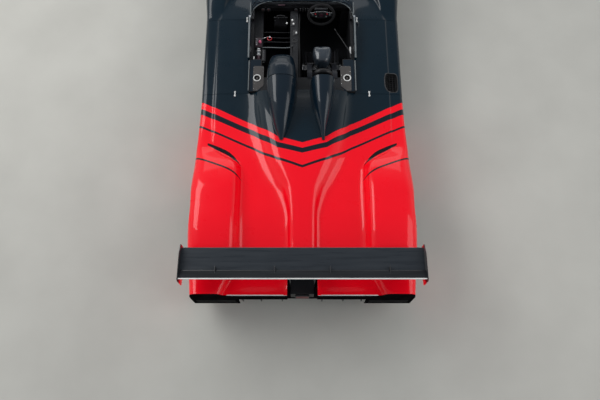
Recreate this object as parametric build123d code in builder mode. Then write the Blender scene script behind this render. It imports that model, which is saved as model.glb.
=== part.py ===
"""Open-cockpit sports prototype race car, as an assembly of separate pieces, in millimetres.

The origin is on the ground under the middle of the car. +Z is up, the nose points to -Y,
and +X is the car's left side. The driver sits on the right, at -X.
"""

import os
from math import cos, hypot, radians, sin, sqrt, tan

from build123d import *

# ---------------------------------------------------------------- driving dimensions
WHEELBASE = 2880.0
FRONT_OVERHANG = 1000.0
REAR_OVERHANG = 760.0
BODY_WIDTH = 2000.0
SKIN = 10.0  # body panel thickness
SEAM = 3.0  # gap between two body panels
NOSE_LIP = 55.0  # height of the nose's leading edge above the splitter

FLOOR_UNDERSIDE = 60.0
FLOOR_THICKNESS = 15.0
PLANK_THICKNESS = 12.0

FRONT_TYRE_RADIUS = 325.0
FRONT_TYRE_WIDTH = 330.0
REAR_TYRE_RADIUS = 355.0
REAR_TYRE_WIDTH = 370.0
RIM_RADIUS = 228.0  # tyre seat radius of the 18 inch rims
RIM_WALL = 8.0
BEAD_GAP = 0.2  # between the tyre's bead and its seat
FRONT_TYRE_INSET = 40.0  # from the widest body to the tyre's outer face
REAR_TYRE_INSET = 40.0
FRONT_ARCH_GAP = 55.0
REAR_ARCH_GAP = 14.0
FRONT_ARCH_DROP = 25.0  # from the axle down to the arch's centre
REAR_ARCH_DROP = 12.0
STEER_LIMIT = 14.0  # degrees each way

TUB_HALF = 500.0  # half the monocoque's width at the cockpit
TUB_WALL = 30.0
TUB_FLOOR = 20.0
RIM_Z = 650.0  # cockpit rim height
FOOTBOX_DROP = 48.0  # from the nose skin down to the footbox top
TUNNEL_X = (40.0, 115.0)
TUNNEL_TOP = 600.0
SIDE_BOX_X = 385.0
SIDE_BOX_TOP = 540.0
DRIVER_X = -190.0

DOOR_THICKNESS = 18.0
DOOR_LENGTH = 460.0
DOOR_TOP = 705.0
DOOR_GAP = 7.0
DOOR_OPENING = 65.0  # degrees

HOOP_TOP = 935.0
HOOP_TUBE = 22.0
HOOP_HALF = 70.0
HUMP_X = 187.0
HUMP_HALF = 142.0  # half the passenger side's fairing
DRIVER_HUMP_HALF = 120.0

WING_SPAN = 1940.0
WING_CHORD = 212.0
FLAP_CHORD = 85.0
WING_Z = 900.0
END_PLATE = 8.0
NOTCH_HALF = 128.0  # half the slot in the tail deck, for the wing's struts
STRUT_THICKNESS = 8.0
CRASH_BOX_HALF = 100.0

DISC_RADIUS = 178.0
DISC_THICKNESS = 32.0
STUB_RADIUS = 30.0
BEARING_GAP = 0.05
PIVOT_GAP = 0.3
BALL_JOINT_REACH = 130.0  # ball joints above and below the front axle
ARM_TUBE = 11.0
TOW_EYE_RADIUS = 30.0
TOW_EYE_THICKNESS = 10.0
FILLER_RADIUS = 38.0
FILLER_DEPTH = 60.0

# ---------------------------------------------------------------- places worked out from them
LENGTH = FRONT_OVERHANG + WHEELBASE + REAR_OVERHANG
NOSE_Y = -LENGTH / 2
FRONT_AXLE_Y = NOSE_Y + FRONT_OVERHANG
REAR_AXLE_Y = FRONT_AXLE_Y + WHEELBASE
TAIL_Y = LENGTH / 2
TAIL_PANEL = 8.0
SHELL_END_Y = TAIL_Y - TAIL_PANEL
FRONT_SEAM_Y = FRONT_AXLE_Y + 900.0
REAR_SEAM_Y = REAR_AXLE_Y - 1150.0
COCKPIT_FRONT_Y = FRONT_AXLE_Y + 720.0
DECK_Y = REAR_SEAM_Y - 150.0  # front edge of the tub's rear deck
SHOULDER_Y = REAR_SEAM_Y - 350.0  # front edge of the shoulder boxes
HALF = BODY_WIDTH / 2
FLOOR_TOP = FLOOR_UNDERSIDE + FLOOR_THICKNESS
FOOTBOX_HALF_REAR = TUB_HALF - 75.0
FOOTBOX_HALF_FRONT = TUB_HALF - 150.0

FRONT_TYRE_OUTER = HALF - FRONT_TYRE_INSET
FRONT_TYRE_INNER = FRONT_TYRE_OUTER - FRONT_TYRE_WIDTH
REAR_TYRE_OUTER = HALF - REAR_TYRE_INSET
REAR_TYRE_INNER = REAR_TYRE_OUTER - REAR_TYRE_WIDTH
FRONT_ARCH = FRONT_TYRE_RADIUS + FRONT_ARCH_GAP
REAR_ARCH = REAR_TYRE_RADIUS + REAR_ARCH_GAP
FRONT_CREST = 2 * FRONT_TYRE_RADIUS + 69
REAR_CREST = 2 * REAR_TYRE_RADIUS + 54
FRONT_FENDER_INNER = FRONT_TYRE_INNER - 105.0
REAR_FENDER_INNER = REAR_TYRE_INNER - 42.0
KINGPIN_X = FRONT_TYRE_OUTER - 205.0
POD_HALF = HALF - 40.0
DECK_Z = 606.0  # top of the sidepods beside the cockpit


# ---------------------------------------------------------------- body lines
def curve(*knots):
    """A smooth curve through (station, value) knots that never overshoots them."""
    stations, values = zip(*knots)
    steps = [b - a for a, b in zip(stations, stations[1:])]
    rises = [(b - a) / step for a, b, step in zip(values, values[1:], steps)]
    slopes = [rises[0]]
    for before, after in zip(rises, rises[1:]):
        slopes.append(2 * before * after / (before + after) if before * after > 0 else 0.0)
    slopes.append(rises[-1])

    def value(station):
        station = min(max(station, stations[0]), stations[-1])
        i = next((k for k in range(len(steps)) if station <= stations[k + 1]), len(steps) - 1)
        t = (station - stations[i]) / steps[i]
        return (
            values[i] * (1 + 2 * t) * (1 - t) ** 2
            + slopes[i] * steps[i] * t * (1 - t) ** 2
            + values[i + 1] * t * t * (3 - 2 * t)
            + slopes[i + 1] * steps[i] * t * t * (t - 1)
        )

    return value


half_width = curve(
    (NOSE_Y, HALF - 440),
    (NOSE_Y + 40, HALF - 260),
    (NOSE_Y + 110, HALF - 140),
    (NOSE_Y + 220, HALF - 55),
    (NOSE_Y + 400, HALF - 8),
    (FRONT_AXLE_Y, HALF),
    (FRONT_AXLE_Y + 500, HALF - 15),
    (FRONT_SEAM_Y, POD_HALF),
    (REAR_SEAM_Y, POD_HALF),
    (REAR_AXLE_Y - 560, HALF - 25),
    (REAR_AXLE_Y, HALF),
    (REAR_AXLE_Y + 400, HALF - 10),
    (TAIL_Y, HALF - 45),
)
sill_height = curve((NOSE_Y, FLOOR_TOP), (REAR_AXLE_Y, FLOOR_TOP), (REAR_AXLE_Y + 400, 150), (TAIL_Y, 250))
fender_inner = curve(
    (NOSE_Y, FRONT_FENDER_INNER - 100),
    (NOSE_Y + 400, FRONT_FENDER_INNER - 15),
    (FRONT_AXLE_Y - 100, FRONT_FENDER_INNER),
    (FRONT_AXLE_Y + 250, FRONT_FENDER_INNER + 5),
    (FRONT_AXLE_Y + 560, HALF - 345),
    (FRONT_AXLE_Y + 670, HALF - 262),
    (FRONT_SEAM_Y - 40, HALF - 200),
    (FRONT_SEAM_Y, HALF - 180),
    (REAR_SEAM_Y, HALF - 180),
    (REAR_AXLE_Y - 600, HALF - 190),
    (REAR_AXLE_Y - 500, HALF - 300),
    (REAR_AXLE_Y - 430, REAR_FENDER_INNER + 30),
    (REAR_AXLE_Y - 350, REAR_FENDER_INNER),
    (REAR_AXLE_Y + 350, REAR_FENDER_INNER + 2),
    (TAIL_Y - 170, REAR_FENDER_INNER + 60),
    (TAIL_Y, REAR_FENDER_INNER + 130),
)
deck_height = curve(
    (NOSE_Y, FLOOR_TOP + NOSE_LIP - 2),
    (NOSE_Y + 150, 175),
    (NOSE_Y + 500, 320),
    (FRONT_AXLE_Y - 200, 475),
    (FRONT_AXLE_Y, 510),
    (FRONT_AXLE_Y + 400, 572),
    (FRONT_SEAM_Y - 100, 602),
    (FRONT_SEAM_Y, DECK_Z),
    (REAR_SEAM_Y, DECK_Z),
    (REAR_AXLE_Y - 500, 630),
    (REAR_AXLE_Y, 628),
    (REAR_AXLE_Y + 400, 575),
    (TAIL_Y - 130, 548),
    (TAIL_Y, 575),
)
crest_height = curve(
    (NOSE_Y, FLOOR_TOP + NOSE_LIP + 2),
    (NOSE_Y + 60, 225),
    (NOSE_Y + 150, 335),
    (NOSE_Y + 330, 520),
    (NOSE_Y + 600, 655),
    (FRONT_AXLE_Y - 100, FRONT_CREST - 4),
    (FRONT_AXLE_Y + 100, FRONT_CREST - 2),
    (FRONT_AXLE_Y + 450, 676),
    (FRONT_AXLE_Y + 700, 630),
    (FRONT_SEAM_Y, DECK_Z - 14),
    (REAR_SEAM_Y, DECK_Z - 14),
    (REAR_SEAM_Y + 300, 600),
    (REAR_AXLE_Y - 600, 630),
    (REAR_AXLE_Y - 400, 706),
    (REAR_AXLE_Y - 120, REAR_CREST - 2),
    (REAR_AXLE_Y + 60, REAR_CREST),
    (REAR_AXLE_Y + 350, 728),
    (TAIL_Y - 180, 648),
    (TAIL_Y, 642),
)
nose_height = curve(
    (NOSE_Y, FLOOR_TOP + NOSE_LIP),
    (NOSE_Y + 60, 190),
    (NOSE_Y + 200, 262),
    (NOSE_Y + 500, 385),
    (FRONT_AXLE_Y - 250, 500),
    (FRONT_AXLE_Y, 566),
    (FRONT_AXLE_Y + 400, 635),
    (COCKPIT_FRONT_Y, 668),
    (FRONT_SEAM_Y, 668),
)
nose_half = curve(
    (NOSE_Y, 290),
    (NOSE_Y + 500, 325),
    (FRONT_AXLE_Y, 375),
    (FRONT_AXLE_Y + 400, 430),
    (COCKPIT_FRONT_Y, TUB_HALF - 55),
    (FRONT_SEAM_Y, TUB_HALF - 55),
)
spine_height = curve(
    (REAR_SEAM_Y, 690),
    (REAR_SEAM_Y + 300, 735),
    (REAR_AXLE_Y - 500, 748),
    (REAR_AXLE_Y - 100, 716),
    (REAR_AXLE_Y + 420, 640),
    (TAIL_Y, 620),
)
spine_shoulder = curve(
    (REAR_SEAM_Y, TUB_HALF - 115),
    (REAR_SEAM_Y + 300, TUB_HALF - 160),
    (REAR_AXLE_Y - 500, 255),
    (REAR_AXLE_Y - 260, 160),
    (REAR_AXLE_Y - 150, 125),
    (REAR_AXLE_Y + 100, NOTCH_HALF - 20),
    (TAIL_Y, NOTCH_HALF - 24),
)
spine_base = curve(
    (REAR_SEAM_Y, TUB_HALF - 30),
    (REAR_SEAM_Y + 300, TUB_HALF - 68),
    (REAR_AXLE_Y - 500, 372),
    (REAR_AXLE_Y - 260, 272),
    (REAR_AXLE_Y - 150, 205),
    (REAR_AXLE_Y + 90, NOTCH_HALF + 4),
    (TAIL_Y, NOTCH_HALF + 2),
)


def fender_line(y):
    """The section's points from the deck beside the fender, over its crest and down to the sill."""
    inner, width, deck = fender_inner(y), half_width(y), deck_height(y)
    crest, sill = crest_height(y), sill_height(y)
    span, rise, height = width - inner, crest - deck, crest - sill
    return [
        (inner - 0.03 * span, deck),
        (inner + 0.06 * span, deck + 0.8 * rise),
        (inner + 0.20 * span, crest),
        (inner + 0.60 * span, crest),
        (inner + 0.84 * span, sill + 0.985 * height),
        (inner + 0.96 * span, sill + 0.90 * height),
        (width, sill + 0.68 * height),
        (width - 4, sill),
    ]


def nose_section(y):
    half, top = nose_half(y), nose_height(y)
    edge = top - 0.05 * (top - FLOOR_TOP)
    return [(0, top), (0.7 * half, top - 2), (half, edge), (half + 55, deck_height(y))] + fender_line(y)


def pod_section(y):
    return [(TUB_HALF, deck_height(y)), (TUB_HALF + 60, deck_height(y))] + fender_line(y)


def spine_section(y):
    shoulder, base, top = spine_shoulder(y), spine_base(y), spine_height(y)
    return [(0, top), (0.6 * shoulder, top), (shoulder, top - 12), (base, deck_height(y))] + fender_line(y)


def band(outline, thickness):
    """Closes an outline into a band, with its inner side moved in by the thickness."""
    directions = []
    for (x0, z0), (x1, z1) in zip(outline, outline[1:]):
        length = hypot(x1 - x0, z1 - z0)
        directions.append(((z1 - z0) / length, -(x1 - x0) / length))
    inner = [(outline[0][0], outline[0][1] - thickness)]
    for (x, z), (ax, az), (bx, bz) in zip(outline[1:-1], directions, directions[1:]):
        mitre = thickness / max(1 + ax * bx + az * bz, 0.9)
        inner.append((x + mitre * (ax + bx), z + mitre * (az + bz)))
    inner.append((outline[-1][0] - thickness, outline[-1][1]))
    return list(outline) + inner[::-1]


def stations(start, end, *between):
    return [start] + [y for y in between if start + 15 < y < end - 15] + [end]


def save(piece, label):
    """Labels a finished piece and writes it as the node of that name."""
    piece.part.label = label
    export_step(piece.part, f"parts/{label}.step")


def box(x, y, z, mode=Mode.ADD):
    """A box between the two ends given for each axis."""
    centre = (sum(x) / 2, sum(y) / 2, sum(z) / 2)
    with Locations(centre):
        Box(x[1] - x[0], y[1] - y[0], z[1] - z[0], mode=mode)


def tube(start, end, radius, mode=Mode.ADD):
    """A round bar from one point to another."""
    axis = Vector(*end) - Vector(*start)
    with Locations(Plane(origin=start, z_dir=axis)):
        Cylinder(radius, axis.length, align=(Align.CENTER, Align.CENTER, Align.MIN), mode=mode)


os.makedirs("parts", exist_ok=True)

# ---------------------------------------------------------------- floor, splitter, plank, diffuser
FLOOR_START_Y = FRONT_AXLE_Y + FRONT_ARCH + 60.0
FLOOR_NARROW_Y = REAR_AXLE_Y - REAR_ARCH - 20.0
DIFFUSER_Y = REAR_AXLE_Y + 140.0
FLOOR_WAIST = REAR_TYRE_INNER - 45.0
SPLITTER_WAIST = FRONT_FENDER_INNER - 10.0
SPLITTER_BACK_Y = FRONT_AXLE_Y - FRONT_ARCH - 20.0

with BuildPart() as floor:
    with BuildSketch(Plane.XY.offset(FLOOR_UNDERSIDE)):
        with BuildLine():
            Polyline(
                (0, FLOOR_START_Y),
                (POD_HALF, FLOOR_START_Y),
                (POD_HALF, FLOOR_NARROW_Y),
                (FLOOR_WAIST, FLOOR_NARROW_Y),
                (FLOOR_WAIST, DIFFUSER_Y),
                (0, DIFFUSER_Y),
                close=True,
            )
        make_face()
        mirror(about=Plane.YZ)
    extrude(amount=FLOOR_THICKNESS)
save(floor, "flat_floor")

with BuildPart() as splitter:
    with BuildSketch(Plane.XY.offset(FLOOR_UNDERSIDE)):
        with BuildLine():
            Polyline(
                (0, NOSE_Y),
                (half_width(NOSE_Y), NOSE_Y),
                (half_width(NOSE_Y + 40), NOSE_Y + 40),
                (half_width(NOSE_Y + 110), NOSE_Y + 110),
                (half_width(NOSE_Y + 220), NOSE_Y + 220),
                (half_width(NOSE_Y + 400), NOSE_Y + 400),
                (HALF - 4, SPLITTER_BACK_Y),
                (SPLITTER_WAIST, SPLITTER_BACK_Y),
                (SPLITTER_WAIST, FLOOR_START_Y),
                (0, FLOOR_START_Y),
                close=True,
            )
        make_face()
        mirror(about=Plane.YZ)
    extrude(amount=FLOOR_THICKNESS)
save(splitter, "front_splitter")

with BuildPart() as plank:
    box(
        (-150, 150),
        (FLOOR_START_Y - 500, DIFFUSER_Y - 60),
        (FLOOR_UNDERSIDE - PLANK_THICKNESS, FLOOR_UNDERSIDE),
    )
save(plank, "skid_plank")

DIFFUSER_WIDE_Y = REAR_AXLE_Y + REAR_TYRE_RADIUS + 35.0
DIFFUSER_END_Y = TAIL_Y - 45.0
TAIL_STRIP_Z = 425.0
DIFFUSER_RISE = 170.0
with BuildPart() as diffuser:
    with BuildSketch(Plane.YZ):
        with BuildLine():
            Polyline(
                (DIFFUSER_Y, FLOOR_UNDERSIDE),
                (DIFFUSER_END_Y, FLOOR_UNDERSIDE + DIFFUSER_RISE),
                (DIFFUSER_END_Y, FLOOR_UNDERSIDE + DIFFUSER_RISE + FLOOR_THICKNESS),
                (DIFFUSER_Y, FLOOR_TOP),
                close=True,
            )
        make_face()
    extrude(amount=FLOOR_WAIST, both=True)
    slope = DIFFUSER_RISE / (DIFFUSER_END_Y - DIFFUSER_Y)
    for x in (180.0, 370.0, FLOOR_WAIST - 8):
        for side in (-1, 1):
            with BuildSketch(Plane.YZ.offset(side * x)):
                with BuildLine():
                    Polyline(
                        (DIFFUSER_Y + 120, FLOOR_UNDERSIDE + 120 * slope),
                        (DIFFUSER_END_Y, FLOOR_UNDERSIDE + DIFFUSER_RISE),
                        (DIFFUSER_END_Y, FLOOR_UNDERSIDE + 40),
                        (DIFFUSER_Y + 160, FLOOR_UNDERSIDE + 5),
                        close=True,
                    )
                make_face()
            extrude(amount=4, both=True)
save(diffuser, "rear_diffuser")

# ---------------------------------------------------------------- monocoque
FOOTBOX_Y = FRONT_AXLE_Y - 240.0
CROSS_BEAM = 25.0
CROSS_BEAM_Z = 560.0
CAVITY_Z = FLOOR_TOP + TUB_FLOOR
DOOR_FRONT_Y = FRONT_SEAM_Y + 20.0
DOOR_REAR_Y = DOOR_FRONT_Y + DOOR_LENGTH
DOOR_BOTTOM = DECK_Z + 14.0


def tapered_box(wall, base_z):
    """The footbox's outside, or its inside when moved in by a wall."""
    front_y, rear_y = FOOTBOX_Y + wall, COCKPIT_FRONT_Y
    drop = FOOTBOX_DROP + wall
    with BuildPart() as block:
        with BuildSketch(Plane.XY.offset(base_z)):
            with BuildLine():
                Polyline(
                    (-FOOTBOX_HALF_FRONT + wall, front_y),
                    (FOOTBOX_HALF_FRONT - wall, front_y),
                    (FOOTBOX_HALF_REAR - wall, rear_y),
                    (-FOOTBOX_HALF_REAR + wall, rear_y),
                    close=True,
                )
            make_face()
        extrude(amount=RIM_Z)
        with BuildSketch(Plane.YZ):
            with BuildLine():
                Polyline(
                    (front_y, base_z),
                    (front_y, nose_height(front_y) - drop),
                    (FRONT_AXLE_Y, nose_height(FRONT_AXLE_Y) - drop),
                    (rear_y, nose_height(rear_y) - drop),
                    (rear_y, base_z),
                    close=True,
                )
            make_face()
        extrude(amount=TUB_HALF, both=True, mode=Mode.INTERSECT)
    return block


with BuildPart() as footbox:
    add(tapered_box(0, FLOOR_TOP).part)
    add(tapered_box(TUB_WALL, CAVITY_Z).part, mode=Mode.SUBTRACT)
save(footbox, "footbox")

with BuildPart() as monocoque:
    box((-TUB_HALF, TUB_HALF), (COCKPIT_FRONT_Y, REAR_SEAM_Y), (FLOOR_TOP, RIM_Z))
    well_half = FOOTBOX_HALF_REAR - TUB_WALL
    box(
        (-well_half, well_half),
        (COCKPIT_FRONT_Y - 1, COCKPIT_FRONT_Y + CROSS_BEAM),
        (CAVITY_Z, CROSS_BEAM_Z),
        Mode.SUBTRACT,
    )
    cavity_z = (CAVITY_Z, RIM_Z + 50)
    driver_x = (-TUB_HALF + TUB_WALL, TUNNEL_X[0])
    passenger_x = (TUNNEL_X[1], SIDE_BOX_X)
    front_y = COCKPIT_FRONT_Y + CROSS_BEAM
    box(driver_x, (front_y, SHOULDER_Y), cavity_z, Mode.SUBTRACT)
    box((-SIDE_BOX_X, TUNNEL_X[0]), (SHOULDER_Y - 1, DECK_Y), cavity_z, Mode.SUBTRACT)
    box(passenger_x, (front_y, DECK_Y), cavity_z, Mode.SUBTRACT)
    box((SIDE_BOX_X - 1, TUB_HALF - TUB_WALL), (front_y, SHOULDER_Y), (SIDE_BOX_TOP, RIM_Z + 50), Mode.SUBTRACT)
    box(
        (TUNNEL_X[0] - 1, TUNNEL_X[1] + 1),
        (front_y, DECK_Y),
        (TUNNEL_TOP, RIM_Z + 50),
        Mode.SUBTRACT,
    )
    for side in (-1, 1):
        rim_x = sorted((side * (TUB_HALF - TUB_WALL - 1), side * (TUB_HALF + 1)))
        box(rim_x, (DOOR_FRONT_Y - 2, DOOR_REAR_Y + DOOR_GAP), (DOOR_BOTTOM - DOOR_GAP, RIM_Z + 50), Mode.SUBTRACT)
        with Locations((side * (TUB_HALF - 57), (SHOULDER_Y + REAR_SEAM_Y) / 2, RIM_Z - FILLER_DEPTH / 2)):
            Cylinder(FILLER_RADIUS, FILLER_DEPTH, mode=Mode.SUBTRACT)
save(monocoque, "monocoque")

# ---------------------------------------------------------------- body panels
def shell(section, places):
    """Half of a body skin, ruled between its sections."""
    with BuildPart() as half:
        for y in places:
            with BuildSketch(Plane.XZ.offset(-y)):
                with BuildLine():
                    Polyline(*band(section(y), SKIN), close=True)
                make_face()
        loft(ruled=True)
    return half


def arch(axle_y, centre_z, radius):
    """Cuts a wheel opening through the left side wall."""
    with Locations((HALF, axle_y, centre_z)):
        Cylinder(radius, 170, rotation=(0, 90, 0), mode=Mode.SUBTRACT)
    box((HALF - 85, HALF + 85), (axle_y - radius, axle_y + radius), (0, centre_z), Mode.SUBTRACT)


front_half = shell(
    nose_section,
    stations(
        NOSE_Y + 2,
        FRONT_SEAM_Y - SEAM,
        NOSE_Y + 20,
        NOSE_Y + 60,
        NOSE_Y + 110,
        NOSE_Y + 180,
        NOSE_Y + 280,
        NOSE_Y + 420,
        NOSE_Y + 620,
        FRONT_AXLE_Y - 180,
        FRONT_AXLE_Y,
        FRONT_AXLE_Y + 180,
        FRONT_AXLE_Y + 360,
        FRONT_AXLE_Y + 520,
        FRONT_AXLE_Y + 650,
        COCKPIT_FRONT_Y + 20,
    ),
)
LAMP_X = FRONT_FENDER_INNER + 240.0
LAMP_Y = NOSE_Y + 250.0
LAMP_Z = 350.0
with BuildPart() as lamp_window:
    with BuildSketch(Plane.XZ.offset(-(LAMP_Y - 180))):
        with Locations((LAMP_X, LAMP_Z)):
            RectangleRounded(230, 130, 40)
    extrude(amount=-320)
OUTLET_Y = (FRONT_AXLE_Y + FRONT_ARCH + 40.0, FRONT_SEAM_Y - 90.0)
OUTLET_Z = (FLOOR_TOP + 90.0, 470.0)
with BuildPart() as front_bodywork:
    add(front_half.part)
    with BuildSketch(Plane.XZ.offset(-(NOSE_Y + 2))):
        with BuildLine():
            Polyline(*nose_section(NOSE_Y + 2), (0, FLOOR_TOP), close=True)
        make_face()
    extrude(amount=-SKIN)
    add(lamp_window.part, mode=Mode.SUBTRACT)
    arch(FRONT_AXLE_Y, FRONT_TYRE_RADIUS - FRONT_ARCH_DROP, FRONT_ARCH)
    box((HALF - 150, HALF + 20), OUTLET_Y, OUTLET_Z, Mode.SUBTRACT)
    box((-1, TUB_HALF + 2), (COCKPIT_FRONT_Y - 6, FRONT_SEAM_Y), (500, 800), Mode.SUBTRACT)
    mirror(about=Plane.YZ)
save(front_bodywork, "front_bodywork")

with BuildPart() as lamp_covers:
    add(front_half.part)
    add(lamp_window.part, mode=Mode.INTERSECT)
    mirror(about=Plane.YZ)
save(lamp_covers, "headlamp_covers")

LAMP_RADIUS = 55.0
with BuildPart() as lamps:
    stand_y = LAMP_Y + 90
    box((LAMP_X - 125, LAMP_X + 125), (stand_y, stand_y + 6), (FLOOR_TOP, LAMP_Z - 10))
    for offset in (-60, 60):
        tube((LAMP_X + offset, stand_y - 40, LAMP_Z - 35), (LAMP_X + offset, stand_y, LAMP_Z - 35), LAMP_RADIUS)
    mirror(about=Plane.YZ)
save(lamps, "headlamps")

SCOOP_LENGTH = 190.0
SCOOP_WIDTH = 120.0
pod_places = stations(
    FRONT_SEAM_Y, REAR_SEAM_Y, FRONT_SEAM_Y + 200, (FRONT_SEAM_Y + REAR_SEAM_Y) / 2, REAR_SEAM_Y - 200
)
pod_half = shell(pod_section, pod_places)
with BuildPart() as left_pod:
    add(pod_half.part)
save(left_pod, "left_sidepod")

with BuildPart() as right_pod:
    add(pod_half.part.mirror(Plane.YZ))
    scoop_x = (-POD_HALF + 50, -POD_HALF + 50 + SCOOP_WIDTH)
    box(scoop_x, (REAR_SEAM_Y - 30 - SCOOP_LENGTH, REAR_SEAM_Y - 30), (520, 700), Mode.SUBTRACT)
save(right_pod, "right_sidepod")

with BuildPart() as radiators:
    with BuildSketch(Plane.XY.offset(FLOOR_TOP)):
        with BuildLine():
            Polyline(
                (TUB_HALF + 20, FRONT_SEAM_Y + 420),
                (POD_HALF - 60, FRONT_SEAM_Y + 140),
                (POD_HALF - 60, FRONT_SEAM_Y + 210),
                (TUB_HALF + 20, FRONT_SEAM_Y + 490),
                close=True,
            )
        make_face()
    extrude(amount=400)
    mirror(about=Plane.YZ)
save(radiators, "radiators")


def hump_outline(half, base, top):
    """Half-round section of a fairing over a roll hoop, about its own middle."""
    rise = top - base
    right = [(half, 0), (0.97 * half, 0.4 * rise), (0.84 * half, 0.74 * rise), (0.52 * half, 0.94 * rise)]
    left = [(-x, z) for x, z in reversed(right)]
    return [(x, base + z) for x, z in right + [(0, rise)] + left]


def hump(places, inset, x):
    """A fairing lofted through (y, half width, base, top) sections."""
    with BuildPart() as fairing:
        for y, half, base, top in places:
            points = hump_outline(half - inset, base, top - inset)
            with BuildSketch(Plane.XZ.offset(-y)):
                with BuildLine():
                    Polyline(*[(x + px, pz) for px, pz in points], close=True)
                make_face()
        loft(ruled=True)
    return fairing


HUMP_TAIL_Y = REAR_AXLE_Y - 600.0
HUMP_BASE = 640.0


def cover_hump(half):
    """Sections of the fairing behind one roll hoop, on the rear cover."""
    return [
        (REAR_SEAM_Y + SEAM, half, HUMP_BASE, HOOP_TOP + 20),
        (REAR_SEAM_Y + 140, half - 14, HUMP_BASE, HOOP_TOP + 2),
        (REAR_SEAM_Y + 300, half - 46, HUMP_BASE, HOOP_TOP - 46),
        (REAR_SEAM_Y + 440, half - 80, HUMP_BASE + 10, HOOP_TOP - 112),
        (HUMP_TAIL_Y, 14, HUMP_BASE + 60, 752),
    ]


rear_half = shell(
    spine_section,
    stations(
        REAR_SEAM_Y + SEAM,
        SHELL_END_Y,
        REAR_SEAM_Y + 150,
        REAR_SEAM_Y + 300,
        REAR_SEAM_Y + 450,
        REAR_AXLE_Y - 560,
        REAR_AXLE_Y - 460,
        REAR_AXLE_Y - 380,
        REAR_AXLE_Y - 240,
        REAR_AXLE_Y - 100,
        REAR_AXLE_Y + 60,
        REAR_AXLE_Y + 220,
        REAR_AXLE_Y + 380,
        REAR_AXLE_Y + 520,
        TAIL_Y - 130,
    ),
)
NOTCH_Y = REAR_AXLE_Y + 425.0
with BuildPart() as rear_bodywork:
    add(rear_half.part)
    arch(REAR_AXLE_Y, REAR_TYRE_RADIUS - REAR_ARCH_DROP, REAR_ARCH)
    box((-1, NOTCH_HALF), (NOTCH_Y, TAIL_Y), (400, 800), Mode.SUBTRACT)
    mirror(about=Plane.YZ)
    for x, half in ((HUMP_X, HUMP_HALF), (-HUMP_X, DRIVER_HUMP_HALF)):
        add(hump(cover_hump(half), 0, x).part)
        add(hump(cover_hump(half)[:-1], SKIN, x).part, mode=Mode.SUBTRACT)
save(rear_bodywork, "rear_bodywork")

with BuildPart() as tail_panels:
    tail = [(x, z) for x, z in fender_line(SHELL_END_Y)]
    tail[0] = (FLOOR_WAIST + 4, deck_height(SHELL_END_Y))
    corner = tail[-1]
    with BuildSketch(Plane.XZ.offset(-SHELL_END_Y)):
        with BuildLine():
            Polyline(*tail, (FLOOR_WAIST + 4, corner[1]), close=True)
        make_face()
        with BuildLine():
            Polyline(
                (NOTCH_HALF, TAIL_STRIP_Z),
                (FLOOR_WAIST + 4, TAIL_STRIP_Z),
                (FLOOR_WAIST + 4, deck_height(SHELL_END_Y)),
                (NOTCH_HALF, deck_height(SHELL_END_Y)),
                close=True,
            )
        make_face()
    extrude(amount=-TAIL_PANEL)
    mirror(about=Plane.YZ)
save(tail_panels, "tail_panels")

# ---------------------------------------------------------------- doors
HINGE_X = TUB_HALF + DOOR_THICKNESS / 2
HINGE_Y = DOOR_FRONT_Y + 9.0
HINGE_PIN = 4.0
HINGE_BARREL = 9.0
DOOR_PLATE_Y = HINGE_Y + HINGE_BARREL + 2
BARREL_Z = (DOOR_BOTTOM + 22.0, DOOR_TOP - 25.0)


def door(side):
    """A cockpit side door, hinged at its front edge."""
    with BuildPart() as leaf:
        with BuildSketch(Plane.YZ.offset(side * TUB_HALF)):
            with BuildLine():
                Polyline(
                    (DOOR_PLATE_Y, DOOR_BOTTOM),
                    (DOOR_REAR_Y, DOOR_BOTTOM),
                    (DOOR_REAR_Y, DOOR_TOP - 30),
                    (DOOR_PLATE_Y + 60, DOOR_TOP),
                    (DOOR_PLATE_Y, DOOR_TOP),
                    close=True,
                )
            make_face()
        extrude(amount=side * DOOR_THICKNESS)
        tube((side * HINGE_X, HINGE_Y, BARREL_Z[0]), (side * HINGE_X, HINGE_Y, BARREL_Z[1]), HINGE_BARREL)
        web_x = sorted((side * (HINGE_X - 4), side * (HINGE_X + 4)))
        box(web_x, (HINGE_Y, DOOR_PLATE_Y + 1), BARREL_Z)
        tube(
            (side * HINGE_X, HINGE_Y, BARREL_Z[0]),
            (side * HINGE_X, HINGE_Y, BARREL_Z[1]),
            HINGE_PIN + PIVOT_GAP,
            Mode.SUBTRACT,
        )
    return leaf


save(door(1), "left_door")
save(door(-1), "right_door")

EAR = 8.0
with BuildPart() as door_hinges:
    back_y = (DOOR_FRONT_Y - 14, DOOR_FRONT_Y - 6)
    ear_z = (BARREL_Z[0] - 3 - EAR, BARREL_Z[1] + 3)
    hinge_x = (TUB_HALF, TUB_HALF + DOOR_THICKNESS)
    box(hinge_x, back_y, (ear_z[0], ear_z[1] + EAR))
    for z in ear_z:
        box(hinge_x, (back_y[1], HINGE_Y + HINGE_BARREL - 4), (z, z + EAR))
    tube((HINGE_X, HINGE_Y, ear_z[0]), (HINGE_X, HINGE_Y, ear_z[1] + EAR), HINGE_PIN)
    mirror(about=Plane.YZ)
save(door_hinges, "door_hinges")

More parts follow.
